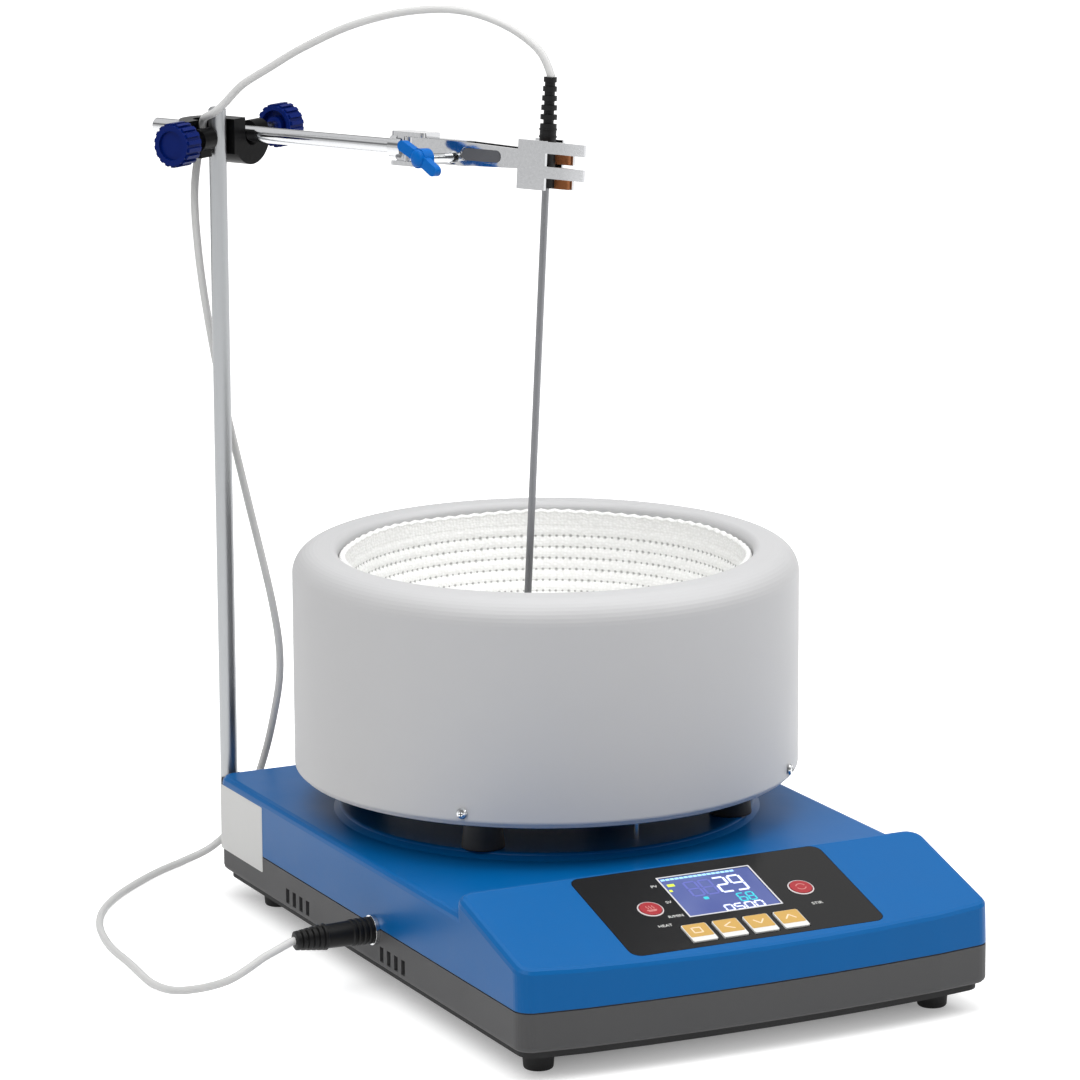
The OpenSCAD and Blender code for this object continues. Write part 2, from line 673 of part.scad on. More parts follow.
module bracket_screws() color("#b9bcc0") placed() for (x = bracket_screw_x)
    translate([x, half_d, bracket_mid_z]) along_y() {
        translate([0, 0, -wall - nut_t]) cylinder(d = nut_d, h = nut_t, $fn = 6);
        translate([0, 0, -wall - nut_t]) cylinder(d = 4, h = wall + nut_t + bracket_flange_t + 1);
        translate([0, 0, bracket_flange_t]) cylinder(d = head_d, h = 2.6);
    }
module rod_set_screw() color("#b9bcc0") placed() translate([rod_x + rod_r + gap, rod_y, bracket_mid_z])
    along_x() difference() {
        union() {
            cylinder(d = set_screw_d, h = bracket_wall + set_head_l);
            translate([0, 0, bracket_wall + 0.7]) cylinder(d = 2 * set_screw_d, h = set_head_l);
        }
        translate([0, 0, bracket_wall + 3]) cylinder(d = 4.6, h = set_head_l, $fn = 6);
    }

// Heating mantle
module mantle_shell() color("#c9cacb") placed() at_mantle() difference() {
    rotate_extrude($fn = 128) polygon(concat([[mantle_r - shell_lip, mantle_z]],
        arc([mantle_r - 2.5, mantle_z + 2.5], 2.5, -90, 0, 4),
        arc([mantle_r - shoulder_r, mantle_top - shoulder_r], shoulder_r, 0, 90, 10),
        arc([opening_r + rim_r, mantle_top - rim_r], rim_r, 90, 180, 6),
        [[opening_r, mantle_top - rim_drop], [opening_r + shell_t, mantle_top - rim_drop]],
        arc([opening_r + rim_r, mantle_top - rim_r], rim_r - shell_t, 180, 90, 6),
        arc([mantle_r - shoulder_r, mantle_top - shoulder_r], shoulder_r - shell_t, 90, 0, 10),
        arc([mantle_r - 2.5, mantle_z + 2.5], 2.5 - shell_t, 0, -90, 4),
        [[mantle_r - shell_lip, mantle_z + shell_t]]));
    for (i = [0:shell_screws - 1]) shell_screw_place(i) translate([0, 0, -3]) cylinder(d = 3.2, h = 6);
}
screw_turn = 45;
module shell_screw_place(i) rotate([0, 0, screw_turn + i * 360 / shell_screws])
    translate([mantle_r, 0, mantle_z + 6]) along_x() children();
module mantle_screws() color("#c4c6c9") placed() at_mantle() for (i = [0:shell_screws - 1])
    shell_screw_place(i) {
        rotate_extrude() polygon([[0, 0.4], [2.6, 0.4], [3.1, 0.9], [2.5, 2], [1.2, 2.5], [0, 2.6]]);
        translate([0, 0, -plate_rim_gap - shell_t - 2]) cylinder(d = 2.8, h = plate_rim_gap + shell_t + 2.5);
    }
plate_rim_gap = 0.4;
plate_r = mantle_r - shell_t - plate_rim_gap;
module mantle_plate() color("#1d1d1f") placed() at_mantle() difference() {
    rotate_extrude($fn = 128) polygon([[0, plate_z], [plate_r - plate_bend, plate_z],
        [plate_r, plate_z + plate_bend], [plate_r, plate_z + plate_rim_h],
        [plate_r - mantle_plate_t, plate_z + plate_rim_h], [plate_r - mantle_plate_t, plate_top + plate_bend],
        [plate_r - mantle_plate_t - plate_bend, plate_top], [0, plate_top]]);
    for (i = [0:shell_screws - 1]) shell_screw_place(i) translate([0, 0, -9]) cylinder(d = 3, h = 12);
}
module mantle_insulation() {
    out_r = plate_r - mantle_plate_t - 0.6;
    shoulder = mantle_top - shoulder_r - 2;
    a0 = -asin((bowl_z - shoulder) / cavity_r);
    color("#e8e2d2") placed() at_mantle() difference() {
        rotate_extrude($fn = 96) polygon(concat([[0, plate_top], [out_r - plate_bend, plate_top],
            [out_r, plate_top + plate_bend + 0.5], [out_r, shoulder]],
            arc([0, bowl_z], cavity_r, a0, -90, 16)));
        for (i = [0:shell_screws - 1]) shell_screw_place(i) translate([0, 0, -9]) cylinder(d = 4, h = 12);
    }
}
module mantle_lining() {
    n = 4 * lining_rows;
    edge = bowl_z - mantle_top + lining_drop;
    a0 = -asin(edge / bowl_r);
    color("#f4f4f2") placed() at_mantle() rotate_extrude($fn = 96) polygon(concat(
        [for (i = [0:n]) let (a = a0 + (-90 - a0) * i / n,
            r = bowl_r + row_depth * (i == n ? 0 : (1 - cos(90 * i)) / 2))
            [i == n ? 0 : r * cos(a), bowl_z + r * sin(a)]],
        arc([0, bowl_z], lining_r, -90, -asin(edge / lining_r), 24)));
}
module heater_wire() {
    steps = 36 * heater_turns;
    points = [for (i = [0:steps]) let (a = -74 + 56 * i / steps, b = 360 * heater_turns * i / steps)
        [heater_r * cos(a) * cos(b), heater_r * cos(a) * sin(b), bowl_z + heater_r * sin(a)]];
    color("#8f8576") placed() at_mantle() tube(points, heater_d, 5, [0, 0, 1]);
}
module mantle_feet() color("#1d1d1f") placed() at_mantle() for (a = [45, 135, 225, 315]) rotate([0, 0, a]) {
    translate([foot_ring_r, 0, plateau_z]) cylinder(d1 = 24, d2 = 20, h = plate_z - 5 - plateau_z + eps);
    translate([foot_ring_r + 4, 0, plate_z - 5]) linear_extrude(5) round_rect(foot_flange_l, 22, 5);
}
module earth_pin() color("#d8dadc") placed() at_mantle() rotate([0, 0, -87])
    translate([foot_ring_r - 8, 0, plateau_z]) cylinder(d = 3, h = plate_z - plateau_z);

// Stirring drive
module motor_plate() color("#a9adb1") placed() at_mantle() difference() {
    translate([0, 0, floor_z]) linear_extrude(motor_plate_t) round_rect(motor_plate_w, motor_plate_l, 8);
    for (sx = [-1, 1], sy = [-1, 1]) translate([sx * (motor_plate_w / 2 - motor_plate_hole_in),
        sy * (motor_plate_l / 2 - motor_plate_hole_in), floor_z - 1])
            cylinder(d = 4.4, h = motor_plate_t + 2);
}
module stir_motor() color("#6d7074") placed() at_mantle() difference() {
    union() {
        translate([0, 0, motor_top - motor_h]) cylinder(d = motor_d, h = motor_h);
        translate([0, 0, motor_top - eps]) cylinder(d = 20, h = motor_collar_h);
    }
    translate([0, 0, motor_top - shaft_in - gap]) cylinder(d = shaft_d + 2 * fit, h = 30);
}
module motor_shaft() color("#c9ccd0") placed() at_mantle() translate([0, 0, motor_top - shaft_in])
    cylinder(d = shaft_d, h = carrier_z + carrier_t - motor_top + shaft_in);
module magnet_carrier() color("#b5b8bc") placed() at_mantle() difference() {
    union() {
        translate([0, 0, carrier_z]) linear_extrude(carrier_t) round_rect(carrier_l, magnet_d + 6, 8);
        translate([0, 0, motor_top + motor_collar_h + gap])
            cylinder(d = 16, h = carrier_z - motor_top - motor_collar_h - gap + eps);
    }
    translate([0, 0, motor_top]) cylinder(d = shaft_d, h = 30);
}
module drive_magnets() color("#55585c") placed() at_mantle() for (sx = [-1, 1])
    translate([sx * (carrier_l / 2 - magnet_d / 2 - 3), 0, carrier_z + carrier_t])
        cylinder(d = magnet_d, h = magnet_h);

// Power board behind the drive
pcb_w = 112;
pcb_l = 66;
pcb_post_in = 6;
core_w = 38;
core_l = 44;
core_h = 26;
coil_out = 4;
coil_l = 32;
coil_z = 6;
board_spot = [half_w - pcb_w / 2 - 26, half_d - pcb_l / 2 - 37];
board_z = floor_z + 8;
module power_board() color("#2c6b3f") placed() translate([board_spot[0], board_spot[1], 0]) {
    translate([0, 0, board_z + pcb_t / 2]) cube([pcb_w, pcb_l, pcb_t], center = true);
    for (sx = [-1, 1], sy = [-1, 1])
        translate([sx * (pcb_w / 2 - pcb_post_in), sy * (pcb_l / 2 - pcb_post_in), floor_z])
            cylinder(d = 7, h = board_z - floor_z + eps);
    for (x = [-30, -14]) translate([x, -20, board_z + pcb_t - eps]) cylinder(d = 13, h = 20);
    translate([-22, 16, board_z + pcb_t - eps]) linear_extrude(22)
        for (i = [0:5]) translate([-15 + 6 * i, 0]) square([2, 18], center = true);
    translate([-22, 16, board_z + pcb_t + 1.5]) cube([34, 18, 3 + 2 * eps], center = true);
}
module transformer() color("#c9a24a") placed()
    translate([board_spot[0] + pcb_w / 4, board_spot[1], board_z + pcb_t]) {
        linear_extrude(core_h) round_rect(core_w, core_l, 2);
        translate([0, 0, coil_z]) linear_extrude(core_h - 2 * coil_z)
            round_rect(core_w + 2 * coil_out, coil_l, 4);
    }

// Support stand
module support_rod() color("#aeb1b4") placed() translate([rod_x, rod_y, 0])
    rotate_extrude() polygon([[0, rod_foot_z + fit], [rod_r - 0.8, rod_foot_z + fit],
        [rod_r, rod_foot_z + 0.8 + fit], [rod_r, rod_top_z - 1.2], [rod_r - 1.2, rod_top_z], [0, rod_top_z]]);

// One hook: a slot from u0 to u0 + boss_slot, open below, with a round back
module hook_outline(u_low, u_high, u0, deep, low) difference() {
    union() {
        translate([(u_low + u_high) / 2, low - (u_high - u_low) / 2]) circle(r = (u_high - u_low) / 2);
        translate([u_low, -2]) square([u_high - u_low, low + 2 - (u_high - u_low) / 2]);
    }
    translate([u0, -40]) square([boss_slot, 40 + deep - boss_slot / 2]);
    translate([u0 + boss_slot / 2, deep - boss_slot / 2]) circle(d = boss_slot);
    translate([u_low - 1, -80]) square([u_high - u_low + 2, 80 - 2]);
}
rod_arm_top = 5.6;
module boss_head() color("#1d1e20") placed() at_boss() difference() {
    union() {
        difference() {
            linear_extrude(boss_h, center = true)
                hook_outline(rod_wall_x, web_x1, web_x0 - boss_slot, rod_slot_deep, boss_back);
            translate([rod_wall_x - 1, -3, rod_arm_top]) cube([boss_wall + 2, rod_d, boss_h]);
        }
        rotate([90, 0, 0]) mirror([0, 1, 0]) linear_extrude(boss_h - 4, center = true)
            hook_outline(web_x0, arm_wall_x, web_x1, arm_slot_deep, boss_drop);
        translate([web_x0, -8, -boss_h / 2]) cube([web_t, 18, boss_h]);
        translate([rod_wall_x - 1, 0, 0]) along_x() cylinder(d = collar_d, h = boss_wall + 1);
        translate([arm_wall_x - boss_wall, 0, 0]) along_x() cylinder(d = collar_d, h = boss_wall + 1);
    }
    translate([rod_wall_x - 3, 0, 0]) along_x() cylinder(d = screw_d + 2 * fit, h = boss_wall + 4);
    translate([arm_wall_x - boss_wall - 1, 0, 0]) along_x()
        cylinder(d = screw_d + 2 * fit, h = boss_wall + 4);
}

// Knob with its hub towards +X and its dished face towards -X
module knob() difference() {
    union() {
        along_x() translate([0, 0, -knob_t]) cylinder(d = knob_d - 2.4, h = knob_t);
        for (i = [0:knob_teeth - 1]) rotate([i * 360 / knob_teeth, 0, 0])
            translate([-knob_t + 1, -knob_d * 0.045, 0]) cube([knob_t - 2, knob_d * 0.09, knob_d / 2]);
    }
    along_x() translate([0, 0, -knob_t - 1]) cylinder(d = knob_d * 0.66, h = 2.6);
    along_x() translate([0, 0, -4]) difference() {
        cylinder(d = knob_d * 0.72, h = 5);
        translate([0, 0, -1]) cylinder(d = knob_d * 0.42, h = 7);
    }
    along_x() translate([0, 0, -knob_bore_l]) cylinder(d = screw_d + 2 * fit, h = knob_bore_l + 1);
}
module rod_knob() color("#152a80") placed() at_boss() translate([rod_knob_x, 0, 0]) knob();
module rod_screw() color("#d0d2d5") placed() at_boss() translate([rod_knob_x - knob_bore_l + gap, 0, 0])
    along_x() cylinder(d = screw_d, h = -rod_r - gap - rod_knob_x + knob_bore_l - gap);
module arm_knob() color("#152a80") placed() at_boss() translate([arm_knob_x, 0, 0])
    rotate([0, 0, 180]) knob();
module arm_screw() color("#d0d2d5") placed() at_boss() translate([arm_x + arm_r + gap, 0, 0]) along_x()
    cylinder(d = screw_d, h = arm_knob_x + knob_bore_l - gap - arm_x - arm_r - gap);
module clamp_arm() color("#d9dbdd") placed() at_boss() translate([arm_x, yoke_back - arm_reach, 0])
    along_y() {
    rotate_extrude() polygon([[0, 0], [arm_r, 0], [arm_r, arm_reach - yoke_back + arm_tail - 1],
        [arm_r - 1, arm_reach - yoke_back + arm_tail], [0, arm_reach - yoke_back + arm_tail]]);
    translate([0, 0, -spigot_l]) cylinder(d = spigot_d, h = spigot_l + eps);
}

// Clamp
module clamp_yoke() color("#d9dbdd") placed() at_clamp() difference() {
    union() {
        translate([0, (yoke_front + yoke_back) / 2, 0])
            cube([yoke_w, yoke_back - yoke_front, 2 * ear_z], center = true);
        for (sz = [-1, 1]) translate([0, (pivot_y + yoke_back) / 2 - 5, sz * (ear_z + ear_t / 2)])
            linear_extrude(ear_t + eps, center = true)
                round_rect(2 * pivot_x + 2 * knuckle_r, yoke_back - pivot_y + 14, 3);
        translate([0, yoke_back - 3 + gap, 0]) along_y() cylinder(d = arm_d + 5, h = 8);
    }
    translate([0, yoke_back - spigot_l - gap, 0]) along_y() cylinder(d = spigot_d + 2 * fit, h = 40);
    translate([0, yoke_back - gap, 0]) along_y() cylinder(d = arm_d + 2 * fit, h = 20);
    for (sx = [-1, 1]) translate([sx * pivot_x, pivot_y, 0]) {
        cylinder(r = knuckle_r + gap + 0.2, h = 2 * ear_z, center = true);
        cylinder(d = pin_d + 2 * fit, h = 40, center = true);
    }
    for (s = [-1, 1]) at_stud(s) translate([-gap, 0, 0]) along_x() cylinder(d = stud_d + 2 * fit, h = 20);
}
// Frame on the root of a stud with X out along it, s = -1 for the near one
module at_stud(s) translate([0, stud_y, stud_z]) rotate([0, 0, 90 - s * (90 - stud_lean)]) children();
module jaw_pins() color("#b9bcc0") placed() at_clamp() for (sx = [-1, 1])
    translate([sx * pivot_x, pivot_y, 0]) cylinder(d = pin_d, h = 2 * (ear_z + ear_t), center = true);
module wing_stud() color("#b9bcc0") placed() at_clamp() {
    at_stud(-1) along_x() cylinder(d = stud_d, h = stud_in + near_stud_out + nut_l + 1);
    at_stud(1) along_x() cylinder(d = stud_d, h = stud_in + far_stud_out + nut_l + 1);
}

// A jaw on the -X side: pivot knuckle, tapering strip, jaw plate and prongs at the given heights
module jaw(levels, prong_l, flare) difference() {
    union() {
        translate([-pivot_x, pivot_y, 0]) cylinder(r = knuckle_r, h = strip_h, center = true);
        translate([-strip_x - jaw_t, 0, 0]) rotate([90, 0, 90]) linear_extrude(jaw_t)
            polygon([[pivot_y, -strip_h / 2], [pivot_y, strip_h / 2], [slot_y, strip_h / 2],
                [jaw_back - 1, strip_tip_h / 2], [jaw_back - 1, -strip_tip_h / 2], [slot_y, -strip_h / 2]]);
        translate([-jaw_x - jaw_sheet, jaw_back - 3, -strip_tip_h / 2])
            cube([jaw_x + jaw_sheet - strip_x, 3, strip_tip_h]);
        translate([-jaw_x - jaw_sheet, jaw_front, jaw_top - jaw_h])
            cube([jaw_sheet, jaw_back - jaw_front, jaw_h]);
        for (z = levels) translate([0, 0, z]) linear_extrude(level_h - gap) polygon([[-jaw_x - jaw_sheet, 4],
            [-jaw_x, 4], [-jaw_x, 4 - prong_l * 0.6], [-jaw_x - flare, -prong_l],
            [-jaw_x - jaw_sheet - flare, -prong_l], [-jaw_x - jaw_sheet, 3.4 - prong_l * 0.6]]);
    }
    translate([-pivot_x, pivot_y, 0]) cylinder(d = pin_d + 2 * fit, h = 40, center = true);
    translate([-strip_x - jaw_t - 1, slot_y, stud_z]) along_x()
        linear_extrude(jaw_t + 2) round_rect(slot_h, slot_l, slot_h / 2 - eps);
    translate([-strip_x - jaw_t, window_y, 0]) along_x()
        linear_extrude(2 * window_deep, center = true) round_rect(8, window_l, 3.9);
}
module cork(levels, l) for (z = levels) translate([-jaw_x, 4 - l, z + gap])
    cube([cork_t, l, level_h - 3 * gap]);
near_levels = [jaw_top - level_h, jaw_top - 3 * level_h];
far_levels = [jaw_top - 2 * level_h, jaw_top - 4 * level_h];
near_cork_l = 17;
far_cork_l = far_prong_l + 3;
module near_jaw() color("#d9dbdd") placed() at_clamp() jaw(near_levels, near_prong_l, 3);
module far_jaw() color("#d9dbdd") placed() at_clamp() mirror([1, 0, 0]) jaw(far_levels, far_prong_l, 0.5);
module near_cork() color("#a86a3a") placed() at_clamp() cork(near_levels, near_cork_l);
module far_cork() color("#a86a3a") placed() at_clamp() mirror([1, 0, 0]) cork(far_levels, far_cork_l);

// Wing nut at a distance out along a stud, its wings swept outwards
module wing_nut(out, turn) translate([out, 0, 0]) rotate([turn, 0, 0]) difference() {
    union() {
        along_x() cylinder(r = nut_r, h = nut_l);
        for (s = [-1, 1]) hull() {
            translate([nut_l * 0.7, s * nut_r * 0.5, 0]) along_x() wing_end();
            translate([nut_l * 0.85, s * (wing_span / 2 - wing_h / 2), 0]) along_x() wing_end();
        }
    }
    translate([-5, 0, 0]) along_x() cylinder(d = stud_d + 2 * fit, h = nut_l + 10);
}
wing_h = 6;
near_turn = -26;
module wing_end() cylinder(d = wing_h, h = nut_l * 0.6, center = true, $fn = 24);
module near_wing_nut() color("#1e86e0") placed() at_clamp() at_stud(-1)
    wing_nut(stud_in + near_stud_out, near_turn);
module far_wing_nut() color("#1e86e0") placed() at_clamp() at_stud(1)
    wing_nut(stud_in + far_stud_out, 0);

// Temperature probe
module probe_sheath() color("#a7a9ab") placed() at_clamp() rotate_extrude() polygon(concat([[0, -probe_l]],
    arc([probe_d / 2 - 1, 1 - probe_l], 1, -90, 0, 4), [[probe_d / 2, -boot_down], [0, -boot_down]]));
module probe_boot() {
    r = boot_d / 2;
    z0 = 20;
    pitch = (boot_up - z0) / boot_ribs;
    color("#161617") placed() at_clamp() difference() {
        rotate_extrude() polygon(concat([[0, -boot_down], [r, -boot_down]],
            [for (z = [12.4, 16.4], p = [[0, 0], [0.35, 0.2], [0.35, 1], [0, 1.2]]) [r + p[0], z + p[1]]],
            [[r, z0]],
            [for (i = [0:boot_ribs - 1], p = [[0, 0], [0, 0.45], [1, 0.45], [1, 1]])
                [p[0] * (r - 0.25 * i) + (1 - p[0]) * 2.9, z0 + (i + p[1]) * pitch]], [[0, boot_up]]));
        translate([0, 0, boot_up - cord_hole]) cylinder(d = cord_d + 4 * fit, h = cord_hole + 1);
    }
}
module probe_plug() {
    r = plug_d / 2;
    taper = function (x) x < 26 ? r : r - 2.4 * (x - 26) / (plug_l - 26);
    color("#141415") placed() translate([-half_w - socket_flange_t, socket_y, socket_z]) rotate([0, -90, 0])
        difference() {
        union() {
            rotate_extrude() polygon(concat([[0, 0], [r - 0.6, 0]],
                [for (i = [0:3], p = [[0, 0.2], [0.6, 0.9], [0.6, 2.4], [0, 3]])
                    [r - 0.6 + p[0], 3.2 * i + p[1]]],
                [for (i = [0:5], p = [[0, 0.2], [0.9, 0.7], [0.9, 2.3], [0, 2.8]])
                    let (x = 26.5 + (plug_l - 26.5) / 6 * i + p[1]) [taper(x) - 0.9 + p[0], x]],
                [[0, plug_l]]));
            translate([0, 0, -8]) cylinder(d = socket_bore_d - 2 * gap, h = 8 + eps);
        }
        translate([0, 0, plug_l - cord_hole]) cylinder(d = cord_d + 4 * fit, h = cord_hole + 1);
    }
}
module probe_cable() {
    up = [sin(clamp_roll) * n_dir[0], sin(clamp_roll) * n_dir[1], cos(clamp_roll)];
    hang = [rod_x + arm_x * n_dir[0] - arm_reach * tail_dir[0],
        rod_y + arm_x * n_dir[1] - arm_reach * tail_dir[1], arm_z];
    plug_end = [-half_w - socket_flange_t - plug_l + cord_in, socket_y, socket_z];
    ends = [hang + up * (boot_up + 4), hang + up * (boot_up - cord_in)];
    route = [for (p = cord_route) p + [cord_side - half_w, 0, 0]];
    path = concat([plug_end, plug_end - [4, 0, 0]], smooth(route, cord_steps), ends);
    color("#dcdddd") placed()
        tube([for (p = path) [p[0], p[1], max(p[2], cord_rest_z)]], cord_d, cord_sides, [0, 1, 0]);
}

top_cover();
bottom_pan();
rubber_feet();
foot_screws();
control_panel();
lcd_module();
control_board();
key_set();
key_left();
key_down();
key_up();
heat_button();
stir_button();
probe_socket();
mains_inlet();
inlet_pins();
switch_frame();
mains_rocker();
rod_bracket();
bracket_screws();
rod_set_screw();
mantle_shell();
mantle_plate();
mantle_insulation();
mantle_lining();
heater_wire();
mantle_feet();
mantle_screws();
earth_pin();
stir_motor();
motor_plate();
motor_shaft();
magnet_carrier();
drive_magnets();
power_board();
transformer();
support_rod();
boss_head();
rod_screw();
rod_knob();
arm_screw();
arm_knob();
clamp_arm();
clamp_yoke();
jaw_pins();
wing_stud();
near_jaw();
near_cork();
far_jaw();
far_cork();
near_wing_nut();
far_wing_nut();
probe_sheath();
probe_boot();
probe_plug();
probe_cable();
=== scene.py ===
"""Bench magnetic stirrer with a heating mantle: finishes, panel print, knitted lining and probe cord."""

import json
import math

import bmesh
import bpy
from bpy.props import FloatProperty, FloatVectorProperty, IntProperty, PointerProperty
from mathutils import Matrix, Vector


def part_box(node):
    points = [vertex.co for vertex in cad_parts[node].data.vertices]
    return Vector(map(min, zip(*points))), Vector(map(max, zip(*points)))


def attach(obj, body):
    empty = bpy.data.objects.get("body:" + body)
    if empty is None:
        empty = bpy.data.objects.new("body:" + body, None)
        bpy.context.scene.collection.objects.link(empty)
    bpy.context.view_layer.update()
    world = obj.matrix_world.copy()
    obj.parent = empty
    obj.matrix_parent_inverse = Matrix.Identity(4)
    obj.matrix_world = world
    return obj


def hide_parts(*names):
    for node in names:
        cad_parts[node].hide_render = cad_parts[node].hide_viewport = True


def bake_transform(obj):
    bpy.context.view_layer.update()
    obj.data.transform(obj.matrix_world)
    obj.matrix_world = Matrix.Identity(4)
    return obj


bl_info = {
    "name": "Heating mantle stirrer",
    "version": (1, 0, 0),
    "blender": (4, 5, 0),
    "location": "View3D > Sidebar > Stirrer",
    "description": "Finishes, panel print, knitted lining and probe cord of a bench stirrer",
    "category": "Object",
}

MM = 0.001
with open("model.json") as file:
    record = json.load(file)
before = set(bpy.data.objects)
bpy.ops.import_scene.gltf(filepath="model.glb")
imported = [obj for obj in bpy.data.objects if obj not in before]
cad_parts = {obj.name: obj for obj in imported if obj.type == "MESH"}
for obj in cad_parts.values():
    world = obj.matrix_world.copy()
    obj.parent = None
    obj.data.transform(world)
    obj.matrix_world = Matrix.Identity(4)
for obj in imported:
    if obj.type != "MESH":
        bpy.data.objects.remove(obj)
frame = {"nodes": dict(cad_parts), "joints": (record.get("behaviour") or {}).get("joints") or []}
NODES = frame["nodes"]
JOINTS = {joint["name"]: joint for joint in frame["joints"]}
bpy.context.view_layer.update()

# Housing and mantle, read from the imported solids
PAN_LOW, PAN_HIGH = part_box("bottom_pan")
SHELL_LOW, SHELL_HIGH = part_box("mantle_shell")
HOUSING_HALF_DEPTH = 200 * MM
HOUSING = Vector(((PAN_LOW.x + PAN_HIGH.x) / 2, PAN_HIGH.y - HOUSING_HALF_DEPTH, 0))
MANTLE = Vector(((SHELL_LOW.x + SHELL_HIGH.x) / 2, (SHELL_LOW.y + SHELL_HIGH.y) / 2, 0))
BOWL_RADIUS = 112 * MM
BOWL_RISE = 3 * MM

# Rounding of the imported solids' sharp edges, in millimetres
EDGES = {
    "boss_head": 0.9, "rod_knob": 0.6, "arm_knob": 0.6, "clamp_yoke": 0.5, "near_jaw": 0.7,
    "far_jaw": 0.7, "near_wing_nut": 0.6, "far_wing_nut": 0.6, "near_cork": 0.3, "far_cork": 0.3,
    "rod_bracket": 0.6, "mains_inlet": 0.5, "switch_frame": 0.5, "mains_rocker": 0.4,
    "probe_socket": 0.3, "mantle_feet": 0.8,
    "key_set": 0.25, "key_left": 0.25, "key_down": 0.25, "key_up": 0.25, "heat_button": 0.3,
    "stir_button": 0.3, "magnet_carrier": 0.4, "motor_plate": 0.4, "transformer": 0.5,
}

# Camera of the photograph, about the middle of the housing
CAMERA_PLACE = Vector((-1249.8, -2480.4, 841.6)) * MM
CAMERA_RIGHT = Vector((0.89685, -0.44230, -0.00504))
CAMERA_UP = Vector((0.09888, 0.18938, 0.97691))
CAMERA_LENS = 172.9
CAMERA_SENSOR = 36.0
LAMP_AIM = Vector((0, 0, 150)) * MM

# Studio: how far from the housing's edge the floor turns white, and the dark flag's height in reflections
FLOOR_SHADE = (-80 * MM, 70 * MM)
FLOOR_WHITE = (0.03, 0.9)
FLAG_HEIGHT = 0.42

# Plain label on the left side, and the display
LABEL_SIZE = (60 * MM, 38 * MM, 0.15 * MM)
LABEL_CORNER = 1.0 * MM
LABEL_BACK = 165 * MM
LABEL_LOW = 29 * MM
DISPLAY_WIDTH = 55 * MM
DISPLAY_LENGTH = 40 * MM
# Thickness of a printed mark and of a film face
PRINT = 0.05 * MM
FILM = 0.1 * MM

# Cord: depth in the plug and the boot, least height of its middle, points between two route points
CORD_INSIDE = 2.8 * MM
CORD_REST = 2.4 * MM
CORD_STEPS = 8
# Route of the cord from the plug to the boot, in millimetres about the middle of the housing
CORD_ROUTE = [
    (-206, -20, 30), (-226, -15, 18), (-241, 14, 7), (-244, 48, 2.4), (-241, 86, 2.4), (-238, 126, 2.4),
    (-227, 168, 2.4), (-207, 203, 2.4), (-174, 237, 2.4), (-140, 262, 2.4), (-114, 270, 8), (-100, 259, 28),
    (-95, 243, 58), (-90, 234, 90), (-87, 229, 124), (-92, 227, 162), (-108, 226, 230), (-122, 225, 290),
    (-131, 224, 338), (-136, 223, 374), (-138, 222, 406), (-135, 222, 430), (-134, 219, 441),
    (-134.5, 216, 447.5), (-135, 211, 451), (-132, 205.5, 454), (-126.5, 201.5, 460), (-119, 195, 470),
    (-108, 183, 480), (-94, 165, 493), (-75, 140, 507), (-54, 113, 516), (-34, 87, 518), (-17, 65, 511),
    (-5, 50, 499),
]
# Where the cord passes from one carrier to the next: route index and the two bodies at its ends
CORD_STRETCHES = [
    ("cord_rise", 0, 15, "base", "support_rod"),
    ("cord_rod", 15, 24, "support_rod", "boss_head"),
    ("cord_arch", 24, 29, "boss_head", "clamp_arm"),
    ("cord_crown", 29, 32, "clamp_arm", "clamp_yoke"),
    ("cord_drop", 32, 36, "clamp_yoke", "probe"),
]


def srgb(code):
    """Linear RGBA of an sRGB hex value."""
    parts = [int(code[i : i + 2], 16) / 255 for i in (0, 2, 4)]
    linear = [c / 12.92 if c <= 0.04045 else ((c + 0.055) / 1.055) ** 2.4 for c in parts]
    return (*linear, 1.0)


def across(size):
    """Scale of a texture whose features are that many millimetres across."""
    return 1 / (size * MM)


def colour_property(label, code):
    """A colour that a user may change, written as an sRGB hex value."""
    return FloatVectorProperty(
        name=label, description=f"Colour of the {label.lower()}", subtype="COLOR", size=4, min=0, max=1,
        default=srgb(code),
    )


class StirrerColours(bpy.types.PropertyGroup):
    """Colours of the stirrer's finishes."""

    cover: colour_property("Top cover", "005fa2")
    pan: colour_property("Bottom pan", "404041")
    shell: colour_property("Mantle shell", "c6c6c7")
    lining: colour_property("Knitted lining", "fbfbfa")
    panel: colour_property("Panel plate", "0a0a0b")
    display: colour_property("Display", "4a5aa6")
    key: colour_property("Square keys", "cba252")
    button: colour_property("Round buttons", "a41c26")
    knob: colour_property("Clamp knobs", "041c62")
    wing_nut: colour_property("Wing nuts", "0466bc")
    cord: colour_property("Probe cord", "d6d6d5")


class StirrerSizes(bpy.types.PropertyGroup):
    """Sizes of the details that are modelled here."""

    cord_diameter: FloatProperty(
        name="Cord diameter", description="Outer diameter of the probe's cord", unit="LENGTH",
        default=4.5 * MM,
    )
    lining_rows: IntProperty(
        name="Lining rows", description="Stitched rows between the lining's rim and its bottom",
        default=26, min=6,
    )
    row_stitches: IntProperty(
        name="Row stitches", description="Stitches round the widest row of the lining",
        default=170, min=40,
    )
    floor_size: FloatProperty(
        name="Floor size", description="Side of the studio floor", unit="LENGTH", default=40.0
    )


def add(tree, kind, inputs=None, **settings):
    """Adds a shader node with its settings, and sets or links its inputs by name or index."""
    node = tree.nodes.new("ShaderNode" + kind)
    for name, value in settings.items():
        setattr(node, name, value)
    for name, value in (inputs or {}).items():
        if isinstance(value, bpy.types.NodeSocket):
            tree.links.new(value, node.inputs[name])
        else:
            node.inputs[name].default_value = value
    return node


